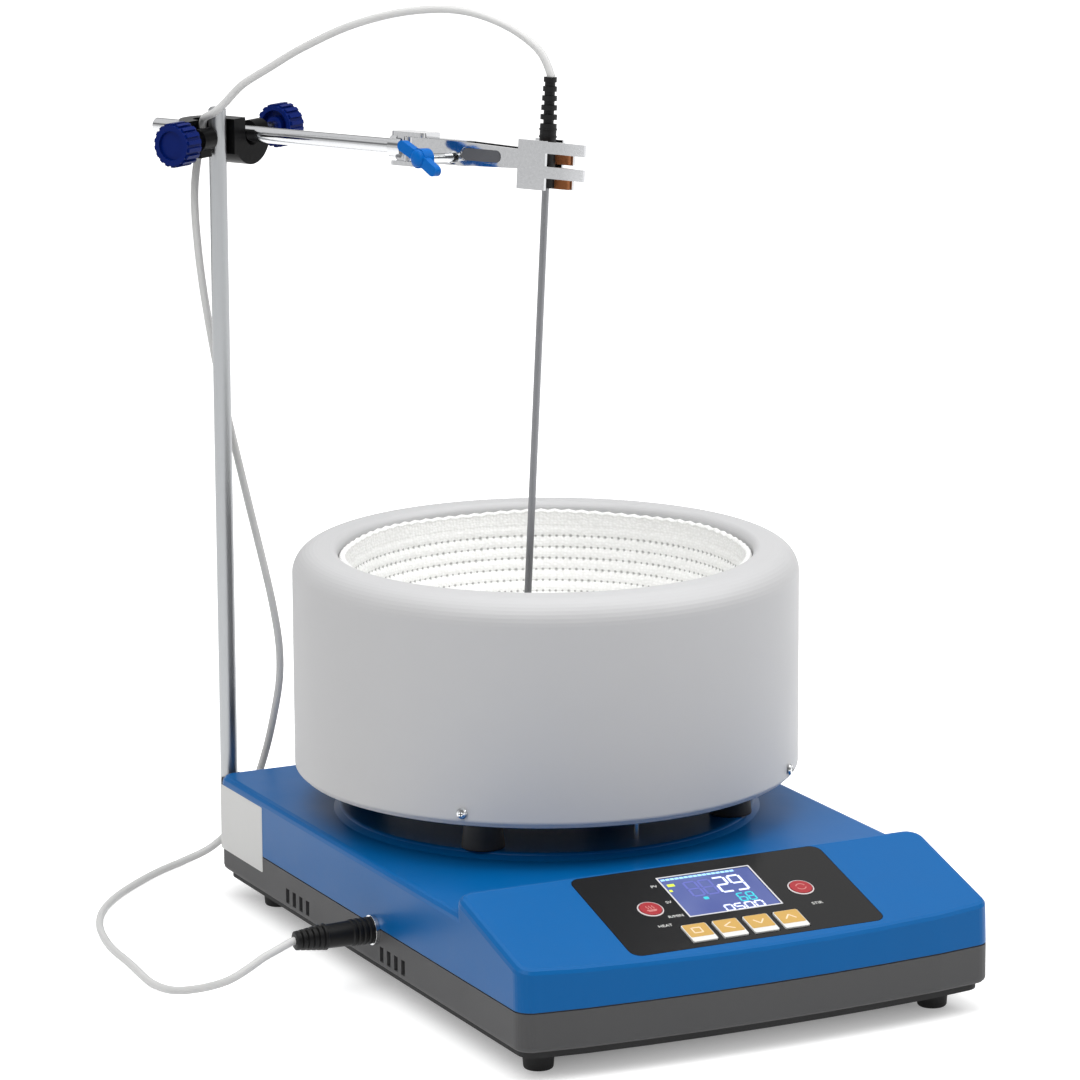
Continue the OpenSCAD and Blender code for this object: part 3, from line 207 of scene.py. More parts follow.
def blank(name, **sockets):
    """A new material, its node tree and its shader, with constants set on the shader's own sockets."""
    material = bpy.data.materials.new(name)
    material.use_nodes = True
    tree = material.node_tree
    shader = tree.nodes["Principled BSDF"]
    for socket, value in sockets.items():
        shader.inputs[socket.replace("_", " ")].default_value = value
    return material, tree, shader


def moulded(name, colour, roughness, grain, depth, mottle=0.05, **sockets):
    """Moulded or coated skin: fine grain in the relief, colour and gloss that vary a little."""
    material, tree, shader = blank(name, **sockets)
    place = add(tree, "TexCoord").outputs["Object"]
    fine = add(tree, "TexNoise", {"Vector": place, "Scale": across(grain), "Detail": 2.0})
    broad = add(tree, "TexNoise", {"Vector": place, "Scale": across(28), "Detail": 3.0})
    dark = tuple(c * (1 - mottle) for c in colour[:3]) + (1.0,)
    light = tuple(min(1.0, c * (1 + mottle)) for c in colour[:3]) + (1.0,)
    tint = add(tree, "Mix", {0: broad.outputs[0], 6: dark, 7: light}, data_type="RGBA")
    gloss = add(
        tree, "MapRange",
        {"Value": broad.outputs[0], "To Min": roughness - 0.05, "To Max": roughness + 0.05},
    )
    relief = add(tree, "Bump", {"Height": fine.outputs[0], "Strength": 0.6, "Distance": depth * MM})
    tree.links.new(tint.outputs[2], shader.inputs["Base Color"])
    tree.links.new(gloss.outputs[0], shader.inputs["Roughness"])
    tree.links.new(relief.outputs[0], shader.inputs["Normal"])
    return material


def drawn_metal(name, colour, roughness, line, stretch, depth, **sockets):
    """Bare or plated metal: fine lines along the drawing direction in gloss and relief."""
    material, tree, shader = blank(name, Metallic=1.0, **sockets)
    place = add(tree, "TexCoord").outputs["Object"]
    along = add(tree, "Mapping", {"Vector": place, "Scale": stretch})
    lines = add(tree, "TexNoise", {"Vector": along.outputs[0], "Scale": across(line), "Detail": 3.0})
    dark = tuple(c * 0.86 for c in colour[:3]) + (1.0,)
    tint = add(tree, "Mix", {0: lines.outputs[0], 6: dark, 7: colour}, data_type="RGBA")
    gloss = add(
        tree, "MapRange",
        {"Value": lines.outputs[0], "To Min": roughness * 0.7, "To Max": roughness * 1.3},
    )
    relief = add(tree, "Bump", {"Height": lines.outputs[0], "Strength": 0.4, "Distance": depth * MM})
    tree.links.new(tint.outputs[2], shader.inputs["Base Color"])
    tree.links.new(gloss.outputs[0], shader.inputs["Roughness"])
    tree.links.new(relief.outputs[0], shader.inputs["Normal"])
    return material


def lit_print(name, colour, strength):
    """Backlit or printed mark: even colour with a faint grain, giving off some of its own light."""
    material, tree, shader = blank(name, Emission_Strength=strength, Emission_Color=colour, Roughness=0.5)
    place = add(tree, "TexCoord").outputs["Object"]
    grain = add(tree, "TexNoise", {"Vector": place, "Scale": across(0.6)})
    dark = tuple(c * 0.9 for c in colour[:3]) + (1.0,)
    tint = add(tree, "Mix", {0: grain.outputs[0], 6: dark, 7: colour}, data_type="RGBA")
    tree.links.new(tint.outputs[2], shader.inputs["Base Color"])
    return material


def soften(node, width):
    """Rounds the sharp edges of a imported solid, once its flat facets are joined."""
    obj = NODES[node]
    for polygon in obj.data.polygons:
        polygon.use_smooth = True
    obj.modifiers.new("weld", "WELD").merge_threshold = 0.005 * MM
    flat = obj.modifiers.new("join_facets", "DECIMATE")
    flat.decimate_type = "DISSOLVE"
    flat.angle_limit = math.radians(0.5)
    edge = obj.modifiers.new("edge", "BEVEL")
    edge.width = width * MM
    edge.segments = 2
    edge.limit_method = "ANGLE"
    edge.angle_limit = math.radians(30)
    obj.modifiers.new("shade", "WEIGHTED_NORMAL").keep_sharp = True


def dress(node, material):
    """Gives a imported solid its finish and, where it has one, its rounded edge."""
    slots = NODES[node].data.materials
    slots.clear()
    slots.append(material)
    if node in EDGES:
        soften(node, EDGES[node])


def dress_all(finishes):
    """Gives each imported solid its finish."""
    for node, material in finishes.items():
        dress(node, material)


def corners(points):
    """Lowest and highest corner of a set of points."""
    return Vector(map(min, *points)), Vector(map(max, *points))


def spin_round(bm, verts, centre, axis, steps, closed):
    """Spins a profile the whole way round; a closed profile also joins its last point to its first."""
    pairs = list(zip(verts, verts[1:]))
    if closed:
        pairs.append((verts[-1], verts[0]))
    edges = [bm.edges.new(pair) for pair in pairs]
    bmesh.ops.spin(
        bm, geom=verts + edges, cent=centre, axis=axis, angle=2 * math.pi, steps=steps, use_merge=True
    )


def piece(name, bm, body, material, place=None, smooth=True):
    """Makes a bmesh a piece that rides on a body, with its place in its mesh."""
    if place is not None:
        bmesh.ops.transform(bm, matrix=place, verts=bm.verts)
    bmesh.ops.remove_doubles(bm, verts=bm.verts, dist=1e-7)
    bmesh.ops.recalc_face_normals(bm, faces=bm.faces)
    for face in bm.faces:
        face.smooth = smooth
    mesh = bpy.data.meshes.new(name)
    bm.to_mesh(mesh)
    bm.free()
    if smooth:
        mesh.set_sharp_from_angle(angle=math.radians(35))
    mesh.materials.append(material)
    obj = bpy.data.objects.new(name, mesh)
    bpy.context.scene.collection.objects.link(obj)
    if body:
        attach(obj, body)
    return obj


def plate(bm, width, length, height, radius=0.0, at=(0, 0, 0), segments=5):
    """Adds a flat plate with round corners that stands on its place."""
    shape = bmesh.ops.create_cube(bm, size=1)
    verts = shape["verts"]
    bmesh.ops.scale(bm, vec=(width, length, height), verts=verts)
    bmesh.ops.translate(bm, vec=Vector(at) + Vector((0, 0, height / 2)), verts=verts)
    if radius:
        edges = dict.fromkeys(e for v in verts for e in v.link_edges)
        upright = [e for e in edges if abs((e.verts[0].co - e.verts[1].co).z) > height / 2]
        bmesh.ops.bevel(
            bm, geom=upright, offset=radius, affect="EDGES", segments=segments, profile=0.5, material=-1
        )


def bar(bm, start, end, width, height, z=0.0):
    """Adds a flat bar from start to end, the strokes of digits and signs."""
    a, b = Vector((*start, z)), Vector((*end, z))
    shape = bmesh.ops.create_cube(bm, size=1)
    turn = Matrix.Rotation(math.atan2(b.y - a.y, b.x - a.x), 4, "Z")
    matrix = Matrix.Translation((a + b) / 2 + Vector((0, 0, height / 2))) @ turn
    matrix @= Matrix.Diagonal(((b - a).length + width * 0.2, width, height, 1))
    bmesh.ops.transform(bm, matrix=matrix, verts=shape["verts"])


def panel_frame():
    """Frame on the middle of the panel plate: X across, Y up the slope, Z out of the plate."""
    normal = -Vector(JOINTS["key_set_press"]["axis"]).normalized()
    up = normal.cross(Vector((1, 0, 0)))
    points = [v.co for v in NODES["control_panel"].data.vertices]
    height = max(p.dot(normal) for p in points)
    rise = [p.dot(up) for p in points if p.dot(normal) > height - 0.1 * MM]
    middle = sum((v.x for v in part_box("control_panel")), 0.0) / 2
    centre = Vector((middle, 0, 0)) + normal * height + up * (min(rise) + max(rise)) / 2
    matrix = Matrix((Vector((1, 0, 0)), up, normal)).transposed().to_4x4()
    matrix.translation = centre
    return matrix


PANEL = panel_frame()


def on_panel(node):
    """Place of a node's top on the panel, in the panel's own frame."""
    low, high = corners([PANEL.inverted() @ v.co for v in NODES[node].data.vertices])
    return Vector(((low.x + high.x) / 2, (low.y + high.y) / 2, high.z)), high - low


def end_of(node, axis):
    """Middle of a node's far end along an axis."""
    points = [v.co for v in NODES[node].data.vertices]
    far = max(p.dot(axis) for p in points)
    low, high = corners([p for p in points if p.dot(axis) > far - 0.05 * MM])
    return (low + high) / 2


def clamp_frame():
    """Frame of the clamp: X across the jaws, Y back along the arm, Z up the probe."""
    up = Vector(JOINTS["probe_lift"]["axis"]).normalized()
    back = -Vector(JOINTS["clamp_roll"]["axis"]).normalized()
    top = end_of("probe_boot", up)
    matrix = Matrix((back.cross(up), back, up)).transposed().to_4x4()
    matrix.translation = top + up * (Vector(JOINTS["clamp_roll"]["pos_m"]) - top).dot(up)
    return matrix


# Turn of a plate that stands on a face towards -X, its length along Y
SIDEWAYS = Matrix(((0, 0, -1), (-1, 0, 0), (0, 1, 0))).to_4x4()


class STIRRER_OT_stage(bpy.types.Operator):
    """Floor, soft studio light and the camera at the photograph's angle"""

    bl_idname = "stirrer.stage"
    bl_label = "Stage"

    def execute(self, context):
        scene = context.scene
        scene.view_settings.view_transform = "Standard"
        self.floor(scene.stirrer_sizes.floor_size)
        self.sky(scene)
        self.lamps(scene)
        self.camera(scene)
        return {"FINISHED"}

    def floor(self, size):
        """Pale floor that keeps the shadow near the object and is plain white to the eye further off."""
        material, tree, shader = blank("Matt white floor paint", Roughness=0.85)
        shader.inputs["Base Color"].default_value = srgb("dedede")
        shader.inputs["Emission Color"].default_value = (1, 1, 1, 1)
        ray = add(tree, "LightPath").outputs
        seen = add(tree, "Math", {0: ray["Is Camera Ray"], 1: ray["Is Glossy Ray"]}, operation="ADD")
        place = add(tree, "TexCoord").outputs["Object"]
        shifted = add(tree, "VectorMath", {0: place, 1: HOUSING}, operation="SUBTRACT")
        folded = add(tree, "VectorMath", {0: shifted.outputs[0]}, operation="ABSOLUTE")
        half = Vector(((PAN_HIGH.x - PAN_LOW.x) / 2, HOUSING_HALF_DEPTH, 0))
        beyond = add(tree, "VectorMath", {0: folded.outputs[0], 1: half}, operation="SUBTRACT")
        axes = add(tree, "SeparateXYZ", {0: beyond.outputs[0]})
        away = add(tree, "Math", {0: axes.outputs["X"], 1: axes.outputs["Y"]}, operation="MAXIMUM")
        white = add(
            tree, "MapRange",
            {
                "Value": away.outputs[0], "From Min": FLOOR_SHADE[0], "From Max": FLOOR_SHADE[1],
                "To Min": FLOOR_WHITE[0], "To Max": FLOOR_WHITE[1],
            },
            interpolation_type="SMOOTHSTEP",
        )
        lift = add(tree, "Math", {0: seen.outputs[0], 1: white.outputs[0]}, operation="MULTIPLY")
        tree.links.new(lift.outputs[0], shader.inputs["Emission Strength"])
        bm = bmesh.new()
        bmesh.ops.create_grid(bm, x_segments=2, y_segments=2, size=size / 2)
        piece("floor", bm, None, material)

    def sky(self, scene):
        """White to the eye, light from above; reflections see a dim camera side and a dark flag."""
        world = bpy.data.worlds.new("Studio")
        scene.world = world
        world.use_nodes = True
        tree = world.node_tree
        rays = add(tree, "LightPath")
        look = add(tree, "TexCoord").outputs["Generated"]
        height = add(tree, "SeparateXYZ", {0: look})
        light = add(
            tree, "MapRange",
            {
                "Value": height.outputs["Z"], "From Min": 0.1, "From Max": 0.8,
                "To Min": 0.02, "To Max": 0.7,
            },
        )
        facing = add(
            tree, "VectorMath", {0: look, 1: CAMERA_RIGHT.cross(CAMERA_UP)}, operation="DOT_PRODUCT"
        )
        side = add(
            tree, "MapRange",
            {
                "Value": facing.outputs["Value"], "From Min": 0.2, "From Max": 0.95,
                "To Min": 0.95, "To Max": 0.4,
            },
        )
        off_flag = add(tree, "Math", {0: height.outputs["Z"], 1: FLAG_HEIGHT}, operation="SUBTRACT")
        far_off = add(tree, "Math", {0: off_flag.outputs[0]}, operation="ABSOLUTE")
        flag = add(
            tree, "MapRange",
            {
                "Value": far_off.outputs[0], "From Min": 0.08, "From Max": 0.2,
                "To Min": 0.3, "To Max": 1.0,
            },
        )
        mirror = add(tree, "Math", {0: side.outputs[0], 1: flag.outputs[0]}, operation="MULTIPLY")
        unseen = add(
            tree, "Mix", {0: rays.outputs["Is Glossy Ray"], 2: light.outputs[0], 3: mirror.outputs[0]}
        )
        strength = add(tree, "Mix", {0: rays.outputs["Is Camera Ray"], 2: unseen.outputs[0], 3: 1.0})
        ground = tree.nodes["Background"]
        ground.inputs["Color"].default_value = (1, 1, 1, 1)
        tree.links.new(strength.outputs[0], ground.inputs["Strength"])

    def lamps(self, scene):
        """A broad lamp overhead and a softer one at each side."""
        rows = [
            ("top_lamp", (-0.2, -0.1, 1.7), 1.6, 12.0),
            ("left_lamp", (-1.3, -0.9, 1.8), 1.2, 14.0),
            ("right_lamp", (1.4, -0.8, 1.7), 1.2, 18.0),
        ]
        for name, place, size, power in rows:
            data = bpy.data.lights.new(name, "AREA")
            data.size = size
            data.energy = power
            lamp = bpy.data.objects.new(name, data)
            lamp.location = HOUSING + Vector(place)
            lamp.rotation_mode = "QUATERNION"
            aim = HOUSING + LAMP_AIM - lamp.location
            lamp.rotation_quaternion = aim.to_track_quat("-Z", "Y")
            scene.collection.objects.link(lamp)

    def camera(self, scene):
        """Long lens at the photograph's viewpoint."""
        data = bpy.data.cameras.new("camera")
        data.lens = CAMERA_LENS
        data.sensor_width = CAMERA_SENSOR
        back = CAMERA_RIGHT.cross(CAMERA_UP)
        matrix = Matrix((CAMERA_RIGHT, CAMERA_UP, back)).transposed().to_4x4()
        matrix.translation = HOUSING + CAMERA_PLACE
        camera = bpy.data.objects.new("camera", data)
        camera.matrix_world = matrix
        scene.collection.objects.link(camera)
        scene.camera = camera


def smooth_route(points, steps):
    """Points of a smooth curve through the route."""
    found = []
    last = len(points) - 1
    for i in range(last):
        a, b, c, d = (points[max(0, min(last, k))] for k in (i - 1, i, i + 1, i + 2))
        for k in range(steps):
            t = k / steps
            point = 2 * b + (c - a) * t
            point += (2 * a - 5 * b + 4 * c - d) * t**2
            point += (3 * b - a - 3 * c + d) * t**3
            found.append(0.5 * point)
    return [*found, points[last]]


def cord_tube(name, path, diameter, material):
    """A round tube along a path, made a mesh."""
    data = bpy.data.curves.new(name, "CURVE")
    data.dimensions = "3D"
    data.bevel_depth = diameter / 2
    data.bevel_resolution = 4
    data.use_fill_caps = True
    spline = data.splines.new("POLY")
    spline.points.add(len(path) - 1)
    for point, place in zip(spline.points, path):
        point.co = (*place, 1)
    line = bpy.data.objects.new(name + "_line", data)
    mesh = bpy.data.meshes.new_from_object(line)
    mesh.name = name
    bpy.data.objects.remove(line)
    bpy.data.curves.remove(data)
    for polygon in mesh.polygons:
        polygon.use_smooth = True
    mesh.materials.clear()
    mesh.materials.append(material)
    tube = bpy.data.objects.new(name, mesh)
    bpy.context.scene.collection.objects.link(tube)
    return tube


class STIRRER_OT_cord(bpy.types.Operator):
    """Probe cord from the boot over the boss head and the bench to the plug"""

    bl_idname = "stirrer.cord"
    bl_label = "Probe cord"

    def execute(self, context):
        colours = context.scene.stirrer_colours
        diameter = context.scene.stirrer_sizes.cord_diameter
        # Extruded silicone: smooth and satin
        sheath = moulded("Silicone sheath", colours.cord, 0.42, 0.8, 0.02, 0.02, Specular_IOR_Level=0.45)
        lift = Vector(JOINTS["probe_lift"]["axis"]).normalized()
        boot_top = end_of("probe_boot", lift)
        plug_low, plug_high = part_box("probe_plug")
        plug_end = Vector((plug_low.x, (plug_low.y + plug_high.y) / 2, (plug_low.z + plug_high.z) / 2))
        route = [HOUSING + Vector(p) * MM for p in CORD_ROUTE]
        route += [boot_top + lift * 1.5 * MM, boot_top - lift * CORD_INSIDE]
        curve = smooth_route(route, CORD_STEPS)
        for name, first, last, body, next_body in CORD_STRETCHES:
            path = curve[first * CORD_STEPS : last * CORD_STEPS + 1]
            at_plug = first == 0
            if at_plug:
                seat = plug_end + Vector((CORD_INSIDE, 0, 0))
                path = [seat, plug_end - Vector((1.2 * MM, 0, 0)), *path]
            path = [Vector((p.x, p.y, max(p.z, CORD_REST))) for p in path]
            tube = cord_tube(name, path, diameter, sheath)
            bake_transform(tube)
            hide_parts("probe_cable")
        return {"FINISHED"}


class STIRRER_OT_housing(bpy.types.Operator):
    """Blue top cover, grey pan, feet and the fittings at the back"""

    bl_idname = "stirrer.housing"
    bl_label = "Housing"

    def execute(self, context):
        colours = context.scene.stirrer_colours
        # Pressed steel under a stoved paint: satin, with a faint orange peel
        cover = moulded("Stoved blue paint", colours.cover, 0.36, 1.6, 0.03, 0.03, Specular_IOR_Level=0.16)
        # Moulded ABS with a spark-eroded texture: matt and slightly speckled
        pan = moulded("Textured grey ABS", colours.pan, 0.6, 0.7, 0.08, 0.08)
        # Rubber is dull, polyamide has a soft sheen, polycarbonate a gloss, powder coat fine pits
        rubber = moulded("Moulded black rubber", srgb("141415"), 0.75, 0.9, 0.06, 0.1)
        black = moulded("Black polyamide", srgb("1a1b1d"), 0.55, 0.6, 0.05, 0.1)
        red = moulded("Red polycarbonate", srgb("b8202a"), 0.3, 0.8, 0.02, 0.04)
        coat = moulded("Black powder coat", srgb("2a2b2d"), 0.55, 0.5, 0.07, 0.1)
        # Zinc plating is a soft grey mirror, nickel a brighter one
        zinc = drawn_metal("Zinc plated steel", srgb("c2c5c8"), 0.3, 0.4, (1, 1, 1), 0.01)
        nickel = drawn_metal("Nickel plated brass", srgb("d8d9da"), 0.16, 0.5, (0.2, 1, 1), 0.005)
        dress_all({
            "top_cover": cover, "bottom_pan": pan, "rubber_feet": rubber, "foot_screws": zinc,
            "mains_inlet": black, "switch_frame": black, "mains_rocker": red, "inlet_pins": nickel,
            "rod_bracket": coat, "bracket_screws": zinc, "rod_set_screw": zinc, "probe_socket": nickel,
        })
        self.pan_lip_painted_shade(rubber)
        self.blank_label()
        return {"FINISHED"}

    def pan_lip_painted_shade(self, finish):
        """Lip round the pan's underside, just inside its edge: a real step, made dark rubber as painted
        shade of the recess.
        """
        inset, low, high = 4 * MM, PAN_LOW.z - 1.3 * MM, PAN_LOW.z + 4 * MM
        middle = (PAN_LOW + PAN_HIGH) / 2
        half = (PAN_HIGH - PAN_LOW) / 2
        bm = bmesh.new()
        for vert in NODES["bottom_pan"].data.vertices:
            x = middle.x + (vert.co.x - middle.x) * (1 - inset / half.x)
            y = middle.y + (vert.co.y - middle.y) * (1 - inset / half.y)
            for z in (low, high):
                bm.verts.new((x, y, z))
        bmesh.ops.remove_doubles(bm, verts=bm.verts, dist=0.1 * MM)
        hull = bmesh.ops.convex_hull(bm, input=bm.verts)
        spare = dict.fromkeys([*hull["geom_interior"], *hull["geom_unused"]])
        bmesh.ops.delete(bm, geom=list(spare), context="VERTS")
        # Dark rubber on the step is painted shade under the pan's edge
        piece("pan_lip_painted_shade", bm, "base", finish)

    def blank_label(self):
        """Plain white label across the seam at the back of the left side."""
        # Label film is smooth and white
        film = moulded("White label film", srgb("d8d8d6"), 0.42, 0.6, 0.01, 0.02)
        bm = bmesh.new()
        plate(bm, *LABEL_SIZE, LABEL_CORNER)
        place = Vector((PAN_LOW.x, HOUSING.y + LABEL_BACK, LABEL_LOW + LABEL_SIZE[1] / 2))
        piece("blank_label", bm, "base", film, Matrix.Translation(place) @ SIDEWAYS, smooth=False)


class STIRRER_OT_internals(bpy.types.Operator):
    """Drive, boards and heater inside the housing and the mantle"""

    bl_idname = "stirrer.internals"
    bl_label = "Internals"

    def execute(self, context):
        # Ground, milled and plated metal shine along their lines
        steel = drawn_metal("Ground shaft steel", srgb("b4b7ba"), 0.25, 0.5, (1, 1, 0.2), 0.01)
        milled = drawn_metal("Milled aluminium", srgb("c9cbce"), 0.35, 0.6, (0.1, 1, 1), 0.02)
        plated = drawn_metal("Nickel plated magnet", srgb("8d9196"), 0.2, 0.6, (1, 1, 1), 0.005)
        # Laminate and varnish have a sheen, wool and braid are dull and uneven
        board = moulded("Solder masked laminate", srgb("1f5a34"), 0.35, 0.6, 0.04, 0.12)
        wound = moulded("Varnished winding", srgb("a97b2c"), 0.4, 0.5, 0.15, 0.15)
        wool = moulded("Mineral wool", srgb("d9d0b6"), 0.95, 1.2, 0.6, 0.12)
        braid = moulded("Glass fibre braid", srgb("8c8271"), 0.8, 0.6, 0.2, 0.15)
        dress_all({
            "stir_motor": steel, "motor_plate": milled, "motor_shaft": steel, "magnet_carrier": milled,
            "drive_magnets": plated, "power_board": board, "control_board": board, "transformer": wound,
            "mantle_insulation": wool, "heater_wire": braid,
        })
        return {"FINISHED"}


class STIRRER_OT_mantle(bpy.types.Operator):
    """Painted shell, its plate, feet and screws, and the knitted lining"""

    bl_idname = "stirrer.mantle"
    bl_label = "Heating mantle"

    def execute(self, context):
        colours = context.scene.stirrer_colours
        sizes = context.scene.stirrer_sizes
        # Spun aluminium under a pale grey coat: soft satin with a very fine grain
        shell = moulded("Pale grey powder coat", colours.shell, 0.48, 0.9, 0.025, 0.015)
        # Matt paint swallows the light under the mantle, zinc screws catch it; the same black is painted
        # shade in the screws' cross recesses
        black = moulded("Matt black paint", srgb("161617"), 0.6, 0.6, 0.05, 0.1)
        zinc = drawn_metal("Bright zinc screw", srgb("cfd1d3"), 0.22, 0.4, (1, 1, 1), 0.01)
        dress_all({
            "mantle_shell": shell, "mantle_plate": black, "mantle_feet": black, "mantle_screws": zinc,
            "earth_pin": zinc,
        })
        self.lower_lip(shell)
        self.paint_screw_recess_shade(black)
        self.lining(colours, sizes)
        return {"FINISHED"}

    def lower_lip(self, finish):
        """Rolled lip below the shell's lower edge."""
        outer = (SHELL_HIGH.x - SHELL_LOW.x) / 2 - 2.4 * MM
        radius = 1.5 * MM
        centre = Vector((MANTLE.x + outer - radius, MANTLE.y, SHELL_LOW.z - 0.2 * MM))
        bm = bmesh.new()
        turns = [2 * math.pi * k / 12 for k in range(12)]
        ring = [bm.verts.new(centre + Vector((math.cos(t), 0, math.sin(t))) * radius) for t in turns]
        spin_round(bm, ring, MANTLE, (0, 0, 1), 180, closed=True)
        piece("mantle_lip", bm, "base", finish)

    def paint_screw_recess_shade(self, finish):
        """Painted shade of the cross recess in the head of each screw round the mantle's foot: a flat dark
        cross on the head.
        """
        points = [v.co for v in NODES["mantle_screws"].data.vertices]
        heads = {}
        for point in points:
            away = point - MANTLE
            turn = round(math.atan2(away.y, away.x) / math.radians(20))
            heads.setdefault(turn, []).append(point)
        for i, head in enumerate(heads.values()):
            middle = sum(head, Vector()) / len(head)
            out = Vector((middle.x - MANTLE.x, middle.y - MANTLE.y, 0)).normalized()
            tip = max(p.dot(out) for p in head)
            up = Vector((0, 0, 1))
            matrix = Matrix((up.cross(out), up, out)).transposed().to_4x4()
            matrix.translation = middle + out * (tip - middle.dot(out) - 0.1 * MM)
            reach, stroke, thick = 1.2 * MM, 0.45 * MM, 0.15 * MM
            # The flat black cross is painted shade of the recess, laid on the screw head
            bm = bmesh.new()
            bar(bm, (-reach, 0), (reach, 0), stroke, thick)
            bar(bm, (0, -reach), (0, reach), stroke, thick)
            piece(f"mantle_screw_recess_shade_{i}", bm, "base", finish, matrix, smooth=False)

    def knit(self, colours):
        """Knitted glass fibre: soft white loops, with a dotted line of stitch holes between the rows;
        painted shade greys the holes and darkens the yarn between the loops.
        """
        material, tree, shader = blank("Knitted glass fibre", Roughness=0.9, Specular_IOR_Level=0.15)
        around = add(tree, "UVMap", uv_map="knit").outputs[0]
        shifted = add(tree, "VectorMath", {0: around, 1: (0.0, 0.5, 0.0)}, operation="ADD")
        cell = add(tree, "VectorMath", {0: shifted.outputs[0]}, operation="FRACTION")
        middle = add(tree, "VectorMath", {0: cell.outputs[0], 1: (0.5, 0.5, 0)}, operation="SUBTRACT")
        span = add(tree, "VectorMath", {0: middle.outputs[0], 1: (4.1, 6.8, 0)}, operation="MULTIPLY")
        reach = add(tree, "VectorMath", {0: span.outputs[0]}, operation="LENGTH")
        uneven = add(tree, "TexNoise", {"Vector": around, "Scale": 0.9, "Detail": 2.0})
        size = add(
            tree, "MapRange",
            {
                "Value": uneven.outputs[0], "From Min": 0.3, "From Max": 0.7,
                "To Min": 0.7, "To Max": 1.7,
            },
        )
        pit = add(
            tree, "MapRange",
            {"Value": reach.outputs["Value"], "From Min": 0.3, "From Max": size.outputs[0]},
        )
        below = add(tree, "SeparateXYZ", {0: around})
        band = add(tree, "Math", {0: below.outputs["Y"], 1: 1.4}, operation="LESS_THAN")
        hole = add(tree, "Math", {0: pit.outputs[0], 1: band.outputs[0]}, operation="MAXIMUM")
        fine = add(tree, "Mapping", {"Vector": around, "Scale": (2.0, 4.0, 1.0)})
        loops = add(tree, "TexVoronoi", {"Vector": fine.outputs[0], "Scale": 1.0, "Randomness": 0.6})
        lit = add(
            tree, "MapRange",
            {"Value": loops.outputs[0], "From Max": 0.8, "To Min": 1.0, "To Max": 0.0},
        )
        # Yarn darker between the loops is painted shade where the loops dip
        yarn_and_loop_shade = add(tree, "Mix", {0: lit.outputs[0], 6: srgb("ebebe9"), 7: colours.lining}, data_type="RGBA")
        # Grey in the stitch holes is painted shade
        pit_shade = srgb("a4a4a2")
        tint = add(tree, "Mix", {0: hole.outputs[0], 6: pit_shade, 7: yarn_and_loop_shade.outputs[2]}, data_type="RGBA")
        height = add(tree, "Math", {0: lit.outputs[0], 1: hole.outputs[0]}, operation="MULTIPLY")
        relief = add(tree, "Bump", {"Height": height.outputs[0], "Strength": 0.7, "Distance": 0.45 * MM})
        tree.links.new(tint.outputs[2], shader.inputs["Base Color"])
        tree.links.new(relief.outputs[0], shader.inputs["Normal"])
        return material

    def lining(self, colours, sizes):
        """Bowl spun from its profile: a rolled edge, a plain band, then stitched rows."""
        centre = MANTLE + Vector((0, 0, SHELL_HIGH.z + BOWL_RISE))
        rim_z = SHELL_HIGH.z - 4.2 * MM
        fold = 1.9 * MM
        rows = sizes.lining_rows
        profile = [(BOWL_RADIUS + 3.2 * MM, rim_z - 14 * MM), (BOWL_RADIUS + 3.2 * MM, rim_z - fold)]
        for i in range(1, 7):
            turn = math.pi * i / 7
            reach = BOWL_RADIUS + 1.3 * MM + fold * math.cos(turn)
            profile.append((reach, rim_z - fold + fold * math.sin(turn)))
        start = math.asin((centre.z - rim_z + fold) / BOWL_RADIUS)
        arc = math.pi / 2 - start
        count = 8 * rows
        for i in range(count + 1):
            share = i / count
            turn = start + arc * share
            row = share * rows
            puff = 0.9 * MM * math.sin(math.pi * (row % 1.0)) ** 0.7 if row > 1 else 0.7 * MM
            radius = BOWL_RADIUS + 0.9 * MM - puff
            profile.append((max(radius * math.cos(turn), 0.0), centre.z - radius * math.sin(turn)))
        bm = bmesh.new()
        verts = [bm.verts.new((MANTLE.x + r, MANTLE.y, z)) for r, z in profile]
        spin_round(bm, verts, MANTLE, (0, 0, 1), 360, closed=False)
        bmesh.ops.remove_doubles(bm, verts=bm.verts, dist=0.01 * MM)
        layer = bm.loops.layers.uv.new("knit")
        for face in bm.faces:
            mid = face.calc_center_median() - MANTLE
            middle = math.atan2(mid.y, mid.x)
            for loop in face.loops:
                away = loop.vert.co - MANTLE
                turn = math.atan2(away.y, away.x)
                if abs(turn - middle) > math.pi:
                    turn += math.copysign(2 * math.pi, middle)
                depth = math.asin(max(-1, min(1, (centre.z - loop.vert.co.z) / BOWL_RADIUS)))
                loop[layer].uv = (turn / (2 * math.pi) * sizes.row_stitches, (depth - start) / arc * rows)
        for vert in bm.verts:
            away = vert.co - MANTLE
            at_edge = Vector((away.x, away.y)).length > BOWL_RADIUS - 4 * MM
            if vert.co.z > rim_z - 2.6 * fold and at_edge:
                angle = math.atan2(away.y, away.x)
                vert.co.z += 0.45 * MM * math.sin(angle * 90) + 0.5 * MM * math.sin(angle * 7)
        lining = piece("knitted_lining", bm, "base", self.knit(colours))
        lining.data.flip_normals()
        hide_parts("mantle_lining")


# Strokes of each seven-stroke digit
SEGMENTS = {
    "0": "abcdef", "2": "abged", "5": "afgcd", "6": "afgedc", "8": "abcdefg", "9": "abcdfg",
}


